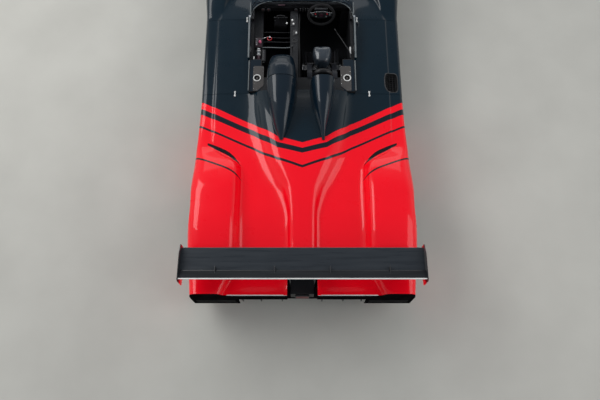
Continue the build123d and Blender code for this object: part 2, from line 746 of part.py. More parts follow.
# ---------------------------------------------------------------- cockpit
with BuildPart() as windscreen:
    outer_half, inner_half = TUB_HALF - 12, TUB_HALF - 17
    screen_front = COCKPIT_FRONT_Y + 8
    screen_back = FRONT_SEAM_Y - 30
    with BuildSketch(Plane.XY.offset(RIM_Z)):
        for half, front, mode in ((outer_half, screen_front, Mode.ADD), (inner_half, screen_front + 5, Mode.SUBTRACT)):
            with BuildLine():
                FilletPolyline(
                    (-half, screen_back),
                    (-half, front),
                    (half, front),
                    (half, screen_back),
                    (-half, screen_back),
                    radius=30 if mode == Mode.ADD else 25,
                )
            make_face(mode=mode)
        with Locations((0, screen_back - 40)):
            Rectangle(2 * inner_half, 100, mode=Mode.SUBTRACT)
    extrude(amount=75)
    with BuildSketch(Plane.YZ):
        with BuildLine():
            Polyline(
                (screen_front + 40, RIM_Z + 80),
                (screen_back + 60, RIM_Z + 80),
                (screen_back + 60, RIM_Z + 15),
                (screen_back, RIM_Z + 15),
                close=True,
            )
        make_face()
    extrude(amount=TUB_HALF, both=True, mode=Mode.SUBTRACT)
save(windscreen, "windscreen")

DASH_Y = (COCKPIT_FRONT_Y + CROSS_BEAM, COCKPIT_FRONT_Y + CROSS_BEAM + 42)
with BuildPart() as dashboard:
    box((-TUB_HALF + TUB_WALL, TUB_HALF - TUB_WALL), DASH_Y, (TUNNEL_TOP, RIM_Z - 6))
    box((DRIVER_X - 90, DRIVER_X + 90), DASH_Y, (CROSS_BEAM_Z - 15, TUNNEL_TOP))
save(dashboard, "dashboard")

WHEEL_TILT = 10.0
WHEEL_RING = 126.0
WHEEL_CENTRE = (DRIVER_X, DASH_Y[1] + 55, 612.0)
toward_driver = Vector(0, cos(radians(WHEEL_TILT)), sin(radians(WHEEL_TILT)))
wheel_plane = Plane(origin=WHEEL_CENTRE, x_dir=(1, 0, 0), z_dir=toward_driver)
HUB_BACK = 30.0
with BuildPart() as steering_wheel:
    with BuildSketch(wheel_plane):
        Circle(42)
        Rectangle(2 * WHEEL_RING - 20, 46)
    extrude(amount=8, both=True)
    with BuildSketch(wheel_plane.offset(-HUB_BACK)):
        Circle(26)
    extrude(amount=HUB_BACK)
    ring_start = wheel_plane.from_local_coords(Vector(WHEEL_RING, 0, 0))
    with BuildLine(wheel_plane) as ring_path:
        CenterArc((0, 0), WHEEL_RING, 0, 360)
    with BuildSketch(Plane(origin=ring_start, x_dir=(1, 0, 0), z_dir=ring_path.line % 0)):
        Circle(14)
    sweep(path=ring_path.line)
save(steering_wheel, "steering_wheel")

with BuildPart() as steering_column:
    with BuildSketch(wheel_plane.offset(-HUB_BACK - PIVOT_GAP)):
        Circle(18)
    extrude(amount=-85)
    add(dashboard.part, mode=Mode.SUBTRACT)
    box((-TUB_HALF, TUB_HALF), (COCKPIT_FRONT_Y, DASH_Y[1]), (FLOOR_TOP, RIM_Z), Mode.SUBTRACT)
save(steering_column, "steering_column")

SEAT_HALF = 190.0
SEAT_WALL = 25.0
SEAT_Y = DECK_Y - 110.0  # back of the seat
SEAT_TOP = RIM_Z - 50.0
with BuildPart() as driver_seat:
    seat_profile = [
        (SEAT_Y - 480, CAVITY_Z),
        (SEAT_Y - 480, CAVITY_Z + 110),
        (SEAT_Y - 360, CAVITY_Z + 105),
        (SEAT_Y - 170, CAVITY_Z + 60),
        (SEAT_Y - 60, SEAT_TOP),
        (SEAT_Y, SEAT_TOP),
        (SEAT_Y, SEAT_TOP - 100),
        (SEAT_Y - 90, CAVITY_Z),
    ]
    with BuildSketch(Plane.YZ.offset(DRIVER_X)):
        with BuildLine():
            Polyline(*seat_profile, close=True)
        make_face()
    extrude(amount=SEAT_HALF - SEAT_WALL, both=True)
    side_profile = [
        (SEAT_Y - 480, CAVITY_Z),
        (SEAT_Y - 480, CAVITY_Z + 170),
        (SEAT_Y - 340, CAVITY_Z + 190),
        (SEAT_Y - 210, CAVITY_Z + 230),
        (SEAT_Y - 110, SEAT_TOP - 40),
        (SEAT_Y - 60, SEAT_TOP),
        (SEAT_Y, SEAT_TOP),
        (SEAT_Y, SEAT_TOP - 100),
        (SEAT_Y - 90, CAVITY_Z),
    ]
    for side in (-1, 1):
        with BuildSketch(Plane.YZ.offset(DRIVER_X + side * (SEAT_HALF - SEAT_WALL))):
            with BuildLine():
                Polyline(*side_profile, close=True)
            make_face()
        extrude(amount=side * SEAT_WALL)
save(driver_seat, "driver_seat")

with BuildPart() as headrest:
    with BuildSketch(Plane.XY.offset(SEAT_TOP)):
        with BuildLine():
            Polyline(
                (DRIVER_X - 98, SEAT_Y - 200),
                (DRIVER_X + 98, SEAT_Y - 200),
                (DRIVER_X + 66, SEAT_Y),
                (DRIVER_X - 66, SEAT_Y),
                close=True,
            )
        make_face()
    extrude(amount=150)
    fillet(headrest.edges().group_by(Axis.Z)[-1], 20)
save(headrest, "headrest")

HOOP_Y = REAR_SEAM_Y - 55.0
with BuildPart() as roll_hoops:
    for x in (-HUMP_X, HUMP_X):
        with BuildLine() as hoop_path:
            FilletPolyline(
                (x - HOOP_HALF, HOOP_Y, RIM_Z),
                (x - HOOP_HALF, HOOP_Y, HOOP_TOP - HOOP_TUBE),
                (x + HOOP_HALF, HOOP_Y, HOOP_TOP - HOOP_TUBE),
                (x + HOOP_HALF, HOOP_Y, RIM_Z),
                radius=HOOP_HALF - 8,
            )
        with BuildSketch(Plane(origin=hoop_path.line @ 0, z_dir=hoop_path.line % 0)):
            Circle(HOOP_TUBE)
        sweep(path=hoop_path.line)
save(roll_hoops, "roll_hoops")

fairing_places = [
    (DECK_Y - 190, HUMP_HALF - 84, RIM_Z, HOOP_TOP - 205),
    (DECK_Y - 165, HUMP_HALF - 52, RIM_Z, HOOP_TOP - 140),
    (DECK_Y - 110, HUMP_HALF - 26, RIM_Z, HOOP_TOP - 67),
    (DECK_Y - 20, HUMP_HALF - 13, RIM_Z, HOOP_TOP - 12),
    (DECK_Y + 40, HUMP_HALF - 8, RIM_Z, HOOP_TOP + 13),
    (REAR_SEAM_Y - SEAM, HUMP_HALF, RIM_Z, HOOP_TOP + 20),
]
with BuildPart() as hoop_fairing:
    add(hump(fairing_places, 0, HUMP_X).part)
    inner_places = [(y, half, base, top) for y, half, base, top in fairing_places[1:]]
    inner_places[-1] = (REAR_SEAM_Y, HUMP_HALF, RIM_Z, HOOP_TOP + 20)
    add(hump(inner_places, SKIN, HUMP_X).part, mode=Mode.SUBTRACT)
save(hoop_fairing, "hoop_fairing")

with BuildPart() as pedals:
    pedal_y = FRONT_AXLE_Y + 60
    for x in (-260, -180, -100):
        box((x - 4, x + 4), (pedal_y, pedal_y + 8), (CAVITY_Z, CAVITY_Z + 200))
        box((x - 25, x + 25), (pedal_y + 8, pedal_y + 16), (CAVITY_Z + 130, CAVITY_Z + 210))
save(pedals, "pedals")

# ---------------------------------------------------------------- engine, gearbox, tail
ENGINE_REAR_Y = REAR_AXLE_Y - 560.0
GEARBOX_REAR_Y = REAR_AXLE_Y + 390.0
AXLE_Z = REAR_TYRE_RADIUS
with BuildPart() as engine:
    box((-250, 250), (REAR_SEAM_Y, ENGINE_REAR_Y), (FLOOR_TOP, 590))
save(engine, "engine_block")

GEARBOX_HALF = 120.0
SHAFT_RADIUS = 20.0
SHAFT_SOCKET = 18.0
with BuildPart() as gearbox:
    with BuildSketch(Plane.XZ.offset(-ENGINE_REAR_Y)):
        with Locations((0, 330)):
            Rectangle(400, 420)
    with BuildSketch(Plane.XZ.offset(-(ENGINE_REAR_Y + 220))):
        with Locations((0, 340)):
            Rectangle(2 * GEARBOX_HALF, 300)
    loft(ruled=True)
    box((-GEARBOX_HALF, GEARBOX_HALF), (ENGINE_REAR_Y + 220, GEARBOX_REAR_Y), (190, 490))
    for side in (-1, 1):
        tube(
            (side * (GEARBOX_HALF - SHAFT_SOCKET), REAR_AXLE_Y, AXLE_Z),
            (side * (GEARBOX_HALF + 5), REAR_AXLE_Y, AXLE_Z),
            SHAFT_RADIUS + BEARING_GAP,
            Mode.SUBTRACT,
        )
save(gearbox, "gearbox")

CRASH_Z = (330.0, 470.0)
EYE_Y = TAIL_Y - 95.0
EYE_Z = CRASH_Z[0] - TOW_EYE_RADIUS - 18.0
with BuildPart() as crash_box:
    box((-CRASH_BOX_HALF, CRASH_BOX_HALF), (GEARBOX_REAR_Y, TAIL_Y - 40), CRASH_Z)
    with BuildSketch(Plane.XZ.offset(-EYE_Y)):
        with Locations((0, EYE_Z)):
            Circle(TOW_EYE_RADIUS + 14)
            Rectangle(60, CRASH_Z[0] - EYE_Z + 5, align=(Align.CENTER, Align.MIN))
            Circle(TOW_EYE_RADIUS, mode=Mode.SUBTRACT)
    extrude(amount=TOW_EYE_THICKNESS / 2, both=True)
save(crash_box, "rear_crash_box")

with BuildPart() as rain_light:
    box((-60, 60), (TAIL_Y - 40, TAIL_Y - 22), (CRASH_Z[0] + 25, CRASH_Z[1] - 25))
save(rain_light, "rain_light")

# ---------------------------------------------------------------- rear wing
WING_START_Y = TAIL_Y - 334.0
LUG_TOP = WING_Z + 5


def foil(chord, depth):
    """Outline of an upside-down wing section: nearly flat on top, deep underneath, nose at the origin."""
    upper = [(0, 0), (0.012, 0.12), (0.05, 0.2), (0.2, 0.22), (0.5, 0.14), (0.8, 0.06), (1, 0.04)]
    lower = [(1, -0.04), (0.8, -0.36), (0.6, -0.74), (0.4, -0.98), (0.25, -1), (0.12, -0.82), (0.03, -0.4)]
    Polyline(*[(x * chord, z * depth) for x, z in upper + lower], close=True)


def wing_plane(y, z, angle):
    """A plane across the car whose local x runs back along a chord at that angle."""
    chordwise = (0, cos(radians(angle)), sin(radians(angle)))
    return Plane(origin=(0, y, z), x_dir=chordwise, z_dir=(1, 0, 0))


STRUT_X = CRASH_BOX_HALF
with BuildPart() as wing_main:
    with BuildSketch(wing_plane(WING_START_Y, WING_Z, 7)):
        with BuildLine():
            foil(WING_CHORD, 0.1 * WING_CHORD)
        make_face()
    extrude(amount=WING_SPAN / 2, both=True)
    for side in (-1, 1):
        lug_x = sorted((side * (STRUT_X + STRUT_THICKNESS), side * (STRUT_X + STRUT_THICKNESS + 10)))
        box(lug_x, (WING_START_Y + 50, WING_START_Y + 175), (WING_Z - 45, LUG_TOP))
save(wing_main, "wing_main_plane")

with BuildPart() as wing_flap:
    with BuildSketch(wing_plane(WING_START_Y + WING_CHORD - 12, WING_Z + 44, 28)):
        with BuildLine():
            foil(FLAP_CHORD, 0.09 * FLAP_CHORD)
        make_face()
    extrude(amount=WING_SPAN / 2, both=True)
save(wing_flap, "wing_flap")

with BuildPart() as end_plates:
    with BuildSketch(Plane.YZ.offset(WING_SPAN / 2)):
        with BuildLine():
            FilletPolyline(
                (WING_START_Y - 18, WING_Z - 70),
                (WING_START_Y + 230, WING_Z - 110),
                (WING_START_Y + 296, WING_Z - 80),
                (WING_START_Y + 296, WING_Z + 95),
                (WING_START_Y + 60, WING_Z + 82),
                (WING_START_Y - 18, WING_Z + 40),
                radius=14,
                close=True,
            )
        make_face()
    extrude(amount=END_PLATE)
    mirror(about=Plane.YZ)
save(end_plates, "wing_end_plates")

with BuildPart() as wing_struts:
    with BuildSketch(Plane.YZ.offset(STRUT_X)):
        with BuildLine():
            Polyline(
                (WING_START_Y - 10, CRASH_Z[0] + 20),
                (WING_START_Y + 210, CRASH_Z[0] + 20),
                (WING_START_Y + 210, CRASH_Z[1] + 60),
                (WING_START_Y + 178, WING_Z - 30),
                (WING_START_Y + 60, WING_Z - 30),
                (WING_START_Y - 10, CRASH_Z[1] + 60),
                close=True,
            )
        make_face()
    extrude(amount=STRUT_THICKNESS)
    mirror(about=Plane.YZ)
save(wing_struts, "wing_struts")

# ---------------------------------------------------------------- mirrors
MIRROR_Y = FRONT_AXLE_Y + 330.0
with BuildPart() as mirrors:
    mirror_x = HALF - 330.0
    top_z = crest_height(MIRROR_Y)
    box((mirror_x - 10, mirror_x + 10), (MIRROR_Y - 18, MIRROR_Y + 18), (top_z - 30, top_z + 60))
    box((mirror_x - 85, mirror_x + 85), (MIRROR_Y - 35, MIRROR_Y + 35), (top_z + 60, top_z + 140))
    add(front_bodywork.part, mode=Mode.SUBTRACT)
    split(bisect_by=Plane.XY.offset(top_z - SKIN + 2), keep=Keep.TOP)
    mirror(about=Plane.YZ)
save(mirrors, "mirrors")

# ---------------------------------------------------------------- front suspension
JOINT_TOP = FRONT_TYRE_RADIUS + BALL_JOINT_REACH
JOINT_BOTTOM = FRONT_TYRE_RADIUS - BALL_JOINT_REACH
BALL_HEIGHT = 24.0
BALL_RADIUS = 20.0
UPRIGHT_HALF = 25.0
NUT_INSET = 38.0  # from the tyre's outer face to the bottom of the hub's blind bore
DISC_X = KINGPIN_X + UPRIGHT_HALF + 18.0


def footbox_half(y):
    """Half the footbox's width at a station."""
    share = (y - FOOTBOX_Y) / (COCKPIT_FRONT_Y - FOOTBOX_Y)
    return FOOTBOX_HALF_FRONT + share * (FOOTBOX_HALF_REAR - FOOTBOX_HALF_FRONT)


with BuildPart() as front_arms:
    for z, inner_drop in ((JOINT_TOP + BALL_HEIGHT / 2, 8), (JOINT_BOTTOM - BALL_HEIGHT / 2, -12)):
        gap = PIVOT_GAP if z > FRONT_TYRE_RADIUS else -PIVOT_GAP
        tube((KINGPIN_X, FRONT_AXLE_Y, z - 12 + gap), (KINGPIN_X, FRONT_AXLE_Y, z + 12 + gap), BALL_RADIUS)
        for spread in (-150, 150):
            inner_y = FRONT_AXLE_Y + spread
            tube((footbox_half(inner_y) - 20, inner_y, z - inner_drop), (KINGPIN_X, FRONT_AXLE_Y, z + gap), ARM_TUBE)
    add(footbox.part, mode=Mode.SUBTRACT)
    mirror(about=Plane.YZ)
save(front_arms, "front_wishbones")


def front_upright(side):
    """Steered upright with its stub axle and brake caliper."""
    with BuildPart() as upright:
        body_x = sorted((side * (KINGPIN_X - UPRIGHT_HALF), side * (KINGPIN_X + UPRIGHT_HALF)))
        box(body_x, (FRONT_AXLE_Y - 40, FRONT_AXLE_Y + 40), (JOINT_BOTTOM, JOINT_TOP))
        tube(
            (side * KINGPIN_X, FRONT_AXLE_Y, FRONT_TYRE_RADIUS),
            (side * (FRONT_TYRE_OUTER - NUT_INSET - 5), FRONT_AXLE_Y, FRONT_TYRE_RADIUS),
            STUB_RADIUS,
        )
        caliper(side, FRONT_AXLE_Y, FRONT_TYRE_RADIUS, KINGPIN_X, DISC_X)
    return upright


def caliper(side, y, z, inner_x, disc_x):
    """Adds a brake caliper that straddles the disc behind the axle, carried by an upright."""
    back = y + DISC_RADIUS + 20
    far_x = disc_x + DISC_THICKNESS + 30
    box(sorted((side * inner_x, side * (disc_x - 5))), (y + 38, back), (z - 45, z + 45))
    box(sorted((side * (disc_x - 6), side * far_x)), (y + DISC_RADIUS + 6, back), (z - 45, z + 45))
    box(sorted((side * (disc_x + DISC_THICKNESS + 5), side * far_x)), (y + 112, back), (z - 45, z + 45))


save(front_upright(1), "front_left_upright")
save(front_upright(-1), "front_right_upright")


# ---------------------------------------------------------------- wheels
def rim(side, y, radius, width, outer_x, disc_face, bore):
    """A one-piece wheel with ten windows, its hub bored for the stub axle."""
    inner_x = outer_x - width
    barrel = RIM_RADIUS - BEAD_GAP
    face_x = outer_x - 70
    profile = [
        (inner_x + 6, barrel + 14),
        (inner_x + 6, barrel - RIM_WALL),
        (face_x, barrel - RIM_WALL),
        (face_x + 10, barrel - 30),
        (face_x - 15, 95),
        (disc_face, 90),
        (disc_face, bore),
        (outer_x - NUT_INSET, bore),
        (outer_x - NUT_INSET, 0),
        (outer_x - 10, 0),
        (outer_x - 10, 38),
        (outer_x - 30, 42),
        (outer_x - 30, 55),
        (face_x + 15, 75),
        (face_x + 24, barrel - 36),
        (face_x + 30, barrel - RIM_WALL),
        (outer_x - 6, barrel - RIM_WALL),
        (outer_x - 6, barrel + 14),
        (outer_x - 14, barrel + 14),
        (outer_x - 14, barrel),
        (inner_x + 14, barrel),
        (inner_x + 14, barrel + 14),
    ]
    with BuildPart() as wheel:
        with BuildSketch(Plane.XY.offset(radius)):
            with BuildLine():
                Polyline(*[(side * x, y + r) for x, r in profile], close=True)
            make_face()
        revolve(axis=Axis((0, y, radius), (1, 0, 0)))
        window_plane = Plane(origin=(side * (face_x - 40), y, radius), x_dir=(0, 1, 0), z_dir=(1, 0, 0))
        with BuildSketch(window_plane):
            with PolarLocations(0, 10):
                with BuildLine():
                    Polyline((104, -9), (RIM_RADIUS - 48, -34), (RIM_RADIUS - 48, 34), (104, 9), close=True)
                make_face()
        extrude(amount=side * 90, mode=Mode.SUBTRACT)
    return wheel


def tyre(side, y, radius, width, outer_x):
    """A slick with rounded shoulders, its beads just off the rim's seats."""
    inner_x = outer_x - width
    wall = 12.0
    with BuildPart() as cover:
        with BuildSketch(Plane.XY.offset(radius)):
            with BuildLine():
                Polyline(
                    (side * (inner_x + 14.5), y + RIM_RADIUS),
                    (side * (inner_x + 14.5), y + RIM_RADIUS + 15),
                    (side * (inner_x + 2), y + RIM_RADIUS + 28),
                    (side * inner_x, y + (radius + RIM_RADIUS) / 2),
                    (side * (inner_x + 5), y + radius - 22),
                    (side * (inner_x + 26), y + radius - 2),
                    (side * (inner_x + 60), y + radius),
                    (side * (outer_x - 60), y + radius),
                    (side * (outer_x - 26), y + radius - 2),
                    (side * (outer_x - 5), y + radius - 22),
                    (side * outer_x, y + (radius + RIM_RADIUS) / 2),
                    (side * (outer_x - 2), y + RIM_RADIUS + 28),
                    (side * (outer_x - 14.5), y + RIM_RADIUS + 15),
                    (side * (outer_x - 14.5), y + RIM_RADIUS),
                    (side * (outer_x - 32), y + RIM_RADIUS),
                    (side * (outer_x - wall - 6), y + (radius + RIM_RADIUS) / 2),
                    (side * (outer_x - 34), y + radius - wall),
                    (side * (inner_x + 34), y + radius - wall),
                    (side * (inner_x + wall + 6), y + (radius + RIM_RADIUS) / 2),
                    (side * (inner_x + 32), y + RIM_RADIUS),
                    close=True,
                )
            make_face()
        revolve(axis=Axis((0, y, radius), (1, 0, 0)))
    return cover


def brake_disc(side, y, z, disc_x, hub_face):
    """A ventilated disc with the bell that bolts to the wheel's hub."""
    with BuildPart() as disc:
        with BuildSketch(Plane.XY.offset(z)):
            with BuildLine():
                Polyline(
                    (side * disc_x, y + 100),
                    (side * disc_x, y + DISC_RADIUS),
                    (side * (disc_x + DISC_THICKNESS), y + DISC_RADIUS),
                    (side * (disc_x + DISC_THICKNESS), y + 100),
                    (side * (hub_face), y + 88),
                    (side * (hub_face), y + STUB_RADIUS + 6),
                    (side * (hub_face - 8), y + STUB_RADIUS + 6),
                    (side * (hub_face - 8), y + 80),
                    (side * (disc_x + DISC_THICKNESS - 8), y + 92),
                    (side * disc_x, y + 92),
                    close=True,
                )
            make_face()
        revolve(axis=Axis((0, y, z), (1, 0, 0)))
    return disc


HUB_FACE_FRONT = DISC_X + DISC_THICKNESS + 34
REAR_UPRIGHT_X = REAR_TYRE_INNER + 70.0
REAR_DISC_X = REAR_UPRIGHT_X + 43.0
HUB_FACE_REAR = REAR_DISC_X + DISC_THICKNESS + 34
for name, side in (("left", 1), ("right", -1)):
    front_bore = STUB_RADIUS + BEARING_GAP
    save(
        rim(side, FRONT_AXLE_Y, FRONT_TYRE_RADIUS, FRONT_TYRE_WIDTH, FRONT_TYRE_OUTER, HUB_FACE_FRONT, front_bore),
        f"front_{name}_rim",
    )
    save(tyre(side, FRONT_AXLE_Y, FRONT_TYRE_RADIUS, FRONT_TYRE_WIDTH, FRONT_TYRE_OUTER), f"front_{name}_tyre")
    save(brake_disc(side, FRONT_AXLE_Y, FRONT_TYRE_RADIUS, DISC_X, HUB_FACE_FRONT), f"front_{name}_brake_disc")
    save(
        rim(side, REAR_AXLE_Y, REAR_TYRE_RADIUS, REAR_TYRE_WIDTH, REAR_TYRE_OUTER, HUB_FACE_REAR, front_bore),
        f"rear_{name}_rim",
    )
    save(tyre(side, REAR_AXLE_Y, REAR_TYRE_RADIUS, REAR_TYRE_WIDTH, REAR_TYRE_OUTER), f"rear_{name}_tyre")
    save(brake_disc(side, REAR_AXLE_Y, REAR_TYRE_RADIUS, REAR_DISC_X, HUB_FACE_REAR), f"rear_{name}_brake_disc")

# ---------------------------------------------------------------- rear suspension
REAR_REACH = 125.0
with BuildPart() as rear_uprights:
    body_x = (REAR_UPRIGHT_X - 25, REAR_UPRIGHT_X + 25)
    box(body_x, (REAR_AXLE_Y - 40, REAR_AXLE_Y + 40), (AXLE_Z - REAR_REACH, AXLE_Z + REAR_REACH))
    tube((body_x[0], REAR_AXLE_Y, AXLE_Z), (body_x[1] + 12, REAR_AXLE_Y, AXLE_Z), STUB_RADIUS + 22)
    caliper(1, REAR_AXLE_Y, AXLE_Z, REAR_UPRIGHT_X, REAR_DISC_X)
    tube(
        (body_x[0] - 5, REAR_AXLE_Y, AXLE_Z),
        (body_x[1] + 20, REAR_AXLE_Y, AXLE_Z),
        STUB_RADIUS + BEARING_GAP,
        Mode.SUBTRACT,
    )
    mirror(about=Plane.YZ)
save(rear_uprights, "rear_uprights")

with BuildPart() as rear_arms:
    for z, spread in ((AXLE_Z + REAR_REACH - 20, 140), (AXLE_Z - REAR_REACH + 20, 140)):
        inner_z = min(max(z, 205), 470)
        for along in (-spread, spread):
            tube(
                (GEARBOX_HALF - 8, REAR_AXLE_Y + along, inner_z),
                (REAR_UPRIGHT_X - 10, REAR_AXLE_Y, z),
                ARM_TUBE,
            )
    add(gearbox.part, mode=Mode.SUBTRACT)
    add(rear_uprights.part, mode=Mode.SUBTRACT)
    mirror(about=Plane.YZ)
save(rear_arms, "rear_wishbones")

for name, side in (("left", 1), ("right", -1)):
    with BuildPart() as drive_shaft:
        for start, end, radius in (
            (GEARBOX_HALF - SHAFT_SOCKET + 2, REAR_UPRIGHT_X - 60, SHAFT_RADIUS),
            (GEARBOX_HALF + 30, GEARBOX_HALF + 75, 38),
            (REAR_UPRIGHT_X - 80, REAR_UPRIGHT_X - 32, 42),
            (REAR_UPRIGHT_X - 60, REAR_TYRE_OUTER - NUT_INSET, STUB_RADIUS),
        ):
            tube((side * start, REAR_AXLE_Y, AXLE_Z), (side * end, REAR_AXLE_Y, AXLE_Z), radius)
    save(drive_shaft, f"{name}_drive_shaft")
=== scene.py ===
# %% [markdown]
# # A sports prototype race car, finished in Blender
#
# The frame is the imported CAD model: chassis, wheels, doors, steering and wing at their
# true places. This lesson keeps every place and joint and gives the car its looks.
# Body panels are rebuilt as smooth skins, soft pieces are stuffed, and every surface
# gets a finish made from nodes.

# %% Load the frame
import math

import bmesh
import bpy
import numpy as np
from mathutils import Matrix, Vector


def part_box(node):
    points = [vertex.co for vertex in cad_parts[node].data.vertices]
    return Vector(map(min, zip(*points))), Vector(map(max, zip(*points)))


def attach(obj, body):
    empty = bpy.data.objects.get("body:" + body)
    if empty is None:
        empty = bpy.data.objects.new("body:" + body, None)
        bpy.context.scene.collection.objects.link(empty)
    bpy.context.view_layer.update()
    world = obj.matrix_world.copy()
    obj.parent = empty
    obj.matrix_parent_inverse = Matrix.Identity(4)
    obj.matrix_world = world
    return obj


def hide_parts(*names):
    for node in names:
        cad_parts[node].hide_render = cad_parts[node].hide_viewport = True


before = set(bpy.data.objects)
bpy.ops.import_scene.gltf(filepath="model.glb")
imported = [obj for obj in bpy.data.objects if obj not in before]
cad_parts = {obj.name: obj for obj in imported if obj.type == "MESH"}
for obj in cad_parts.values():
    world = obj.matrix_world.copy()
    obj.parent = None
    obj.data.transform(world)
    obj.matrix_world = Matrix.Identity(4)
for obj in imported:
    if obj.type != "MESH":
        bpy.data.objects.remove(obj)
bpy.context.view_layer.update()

# %% [markdown]
# ## Stage, camera and light
#
# A low race car is best read from above and behind, so the camera hangs over the tail and
# looks forward and down. The floor is one pale sheet. Large soft lamps give long, quiet
# highlights on gloss paint; small hard ones would make hot spots.

# %% Camera
def make_object(name, data):
    thing = bpy.data.objects.new(name, data)
    bpy.context.collection.objects.link(thing)
    return thing


camera = make_object("camera", bpy.data.cameras.new("camera"))
camera.data.sensor_width = camera.data.lens = 36
camera.data.clip_end = 200
CAMERA_PLACE, CAMERA_TILT = (0.02, 3.28, 5.57), math.radians(20)
back = Vector((0, math.sin(CAMERA_TILT), math.cos(CAMERA_TILT)))
up = Vector((0, -math.cos(CAMERA_TILT), math.sin(CAMERA_TILT)))
turn = Matrix((up.cross(back), up, back)).transposed().to_4x4()
camera.matrix_world = Matrix.Translation(CAMERA_PLACE) @ turn
bpy.context.scene.camera = camera
bpy.context.scene.view_settings.view_transform = "Standard"
print("camera height", round(camera.matrix_world.translation.z, 2))

# %% [markdown]
# ## Node recipes as plain sums
#
# A finish is mostly arithmetic on places and noise. Wired by hand, a sum of three terms is
# three boxes and six links. Here a term is a small object that the ordinary signs work on,
# and each sign adds its own Math node. The tree is the same, and the recipe reads as a sum.

# %% Nodes in a line of code
def wire(tree, socket, value):
    """Links a socket, or sets a plain value."""
    value = getattr(value, "socket", value)
    if isinstance(value, bpy.types.NodeSocket):
        tree.links.new(value, socket)
    else:
        socket.default_value = (*value, 1) if socket.type == "RGBA" else value


class Term:
    """A number in a recipe."""

    def __init__(self, recipe, socket):
        self.recipe, self.socket = recipe, socket

    def __rsub__(self, other):
        return self.recipe.calc("SUBTRACT", other, self)

    def __abs__(self):
        return self.recipe.calc("ABSOLUTE", self)

    def at_least(self, other):
        return self.recipe.calc("MAXIMUM", self, other)

    def clamped(self):
        return self.recipe.calc("MINIMUM", self.at_least(0.0), 1.0)


SIGNS = {"add": "ADD", "sub": "SUBTRACT", "mul": "MULTIPLY", "truediv": "DIVIDE",
         "gt": "GREATER_THAN", "lt": "LESS_THAN"}
for sign, operation in SIGNS.items():
    setattr(Term, f"__{sign}__", lambda one, two, name=operation: one.recipe.calc(name, one, two))


class Recipe:
    """A node tree with short ways to add to it."""

    def __init__(self, tree):
        self.tree = tree

    def node(self, kind, inputs=None, **settings):
        node = self.tree.nodes.new(kind)
        for key, value in settings.items():
            setattr(node, key, value)
        for key, value in (inputs or {}).items():
            wire(self.tree, node.inputs[key], value)
        return node

    def calc(self, operation, *values):
        node = self.node("ShaderNodeMath", dict(enumerate(values)), operation=operation)
        return Term(self, node.outputs[0])

    def mix(self, share, first, second):
        """A colour between two, or the second one where the share is 1."""
        return self.node("ShaderNodeMix", {0: share, 6: first, 7: second}, data_type="RGBA").outputs[2]

    def place(self, scale=(1, 1, 1), output="Object"):
        """Object coordinates, stretched."""
        source = self.node("ShaderNodeTexCoord").outputs[output]
        return self.node("ShaderNodeMapping", {"Vector": source, "Scale": scale}).outputs[0]

    def axes(self, vector=None):
        split = self.node("ShaderNodeSeparateXYZ", {0: vector or self.place()})
        return [Term(self, socket) for socket in split.outputs]

    def noise(self, scale, detail=3.0, stretch=(1, 1, 1)):
        inputs = {"Scale": scale, "Detail": detail, "Vector": self.place(stretch)}
        return Term(self, self.node("ShaderNodeTexNoise", inputs).outputs[0])

    def spread(self, value, low=0.0, high=1.0):
        """Maps 0.3..0.7, where noise mostly lies, to low..high."""
        inputs = {"From Min": 0.3, "From Max": 0.7, "To Min": low, "To Max": high, "Value": value}
        return Term(self, self.node("ShaderNodeMapRange", inputs).outputs[0])


class Finish(Recipe):
    """A new material with its shader's plain values set."""

    def __init__(self, name, slot, **values):
        material = bpy.data.materials.new(name)
        material.use_nodes = True
        super().__init__(material.node_tree)
        for key, value in values.items():
            self.shader(key.replace("_", " ").title().replace("Ior", "IOR"), value)

    def shader(self, label, value):
        wire(self.tree, self.tree.nodes["Principled BSDF"].inputs[label], value)

    def colour(self, wander, dark, light):
        self.shader("Base Color", self.mix(self.spread(wander), dark, light))

    def rough(self, wander, low, high):
        self.shader("Roughness", self.spread(wander, low, high))

    def bump(self, height, depth, strength=1.0):
        """Shaded relief of a depth in metres."""
        inputs = {"Distance": depth, "Strength": strength, "Height": height}
        self.shader("Normal", self.node("ShaderNodeBump", inputs).outputs[0])


# %% Floor, lamps and sky
floor_mesh = bpy.data.meshes.new("stage_floor")
floor_mesh.from_pydata([(-60, -60, 0), (60, -60, 0), (60, 60, 0), (-60, 60, 0)], [], [(0, 1, 2, 3)])
make_object("stage_floor", floor_mesh)
pale = Finish("stage_pale", "", roughness=0.9)
pale.colour(pale.noise(1.3, 6), (0.46, 0.45, 0.41), (0.52, 0.51, 0.465))
floor_mesh.materials.append(bpy.data.materials["stage_pale"])

world = bpy.data.worlds.new("studio")
bpy.context.scene.world = world
world.use_nodes = True
sky = Recipe(world.node_tree)
height = sky.axes(sky.node("ShaderNodeTexCoord").outputs["Generated"])[2]
dome = sky.mix((height * 1.4).clamped(), (0.88, 0.88, 0.87), (0.26, 0.28, 0.31))
for label, value in (("Color", dome), ("Strength", 1.12)):
    wire(sky.tree, sky.tree.nodes["Background"].inputs[label], value)


def softbox(name, place_at, aim, size, power):
    lamp = make_object(name, bpy.data.lights.new(name, "AREA"))
    lamp.data.shape = "RECTANGLE"
    lamp.data.size, lamp.data.size_y = size
    lamp.data.energy = power
    lamp.location = place_at
    lamp.rotation_euler = (Vector(aim) - Vector(place_at)).to_track_quat("-Z", "Y").to_euler()


softbox("key_softbox", (5.5, -1.5, 6.5), (0, 0, 0.4), (6, 4), 370)
softbox("fill_softbox", (-6.0, 2.5, 5.5), (0, 0.5, 0.4), (5, 5), 170)
softbox("nose_strip", (0, -7.0, 5.0), (0, 0, 0.4), (8, 3), 110)
print("lamps", len(bpy.data.lights))

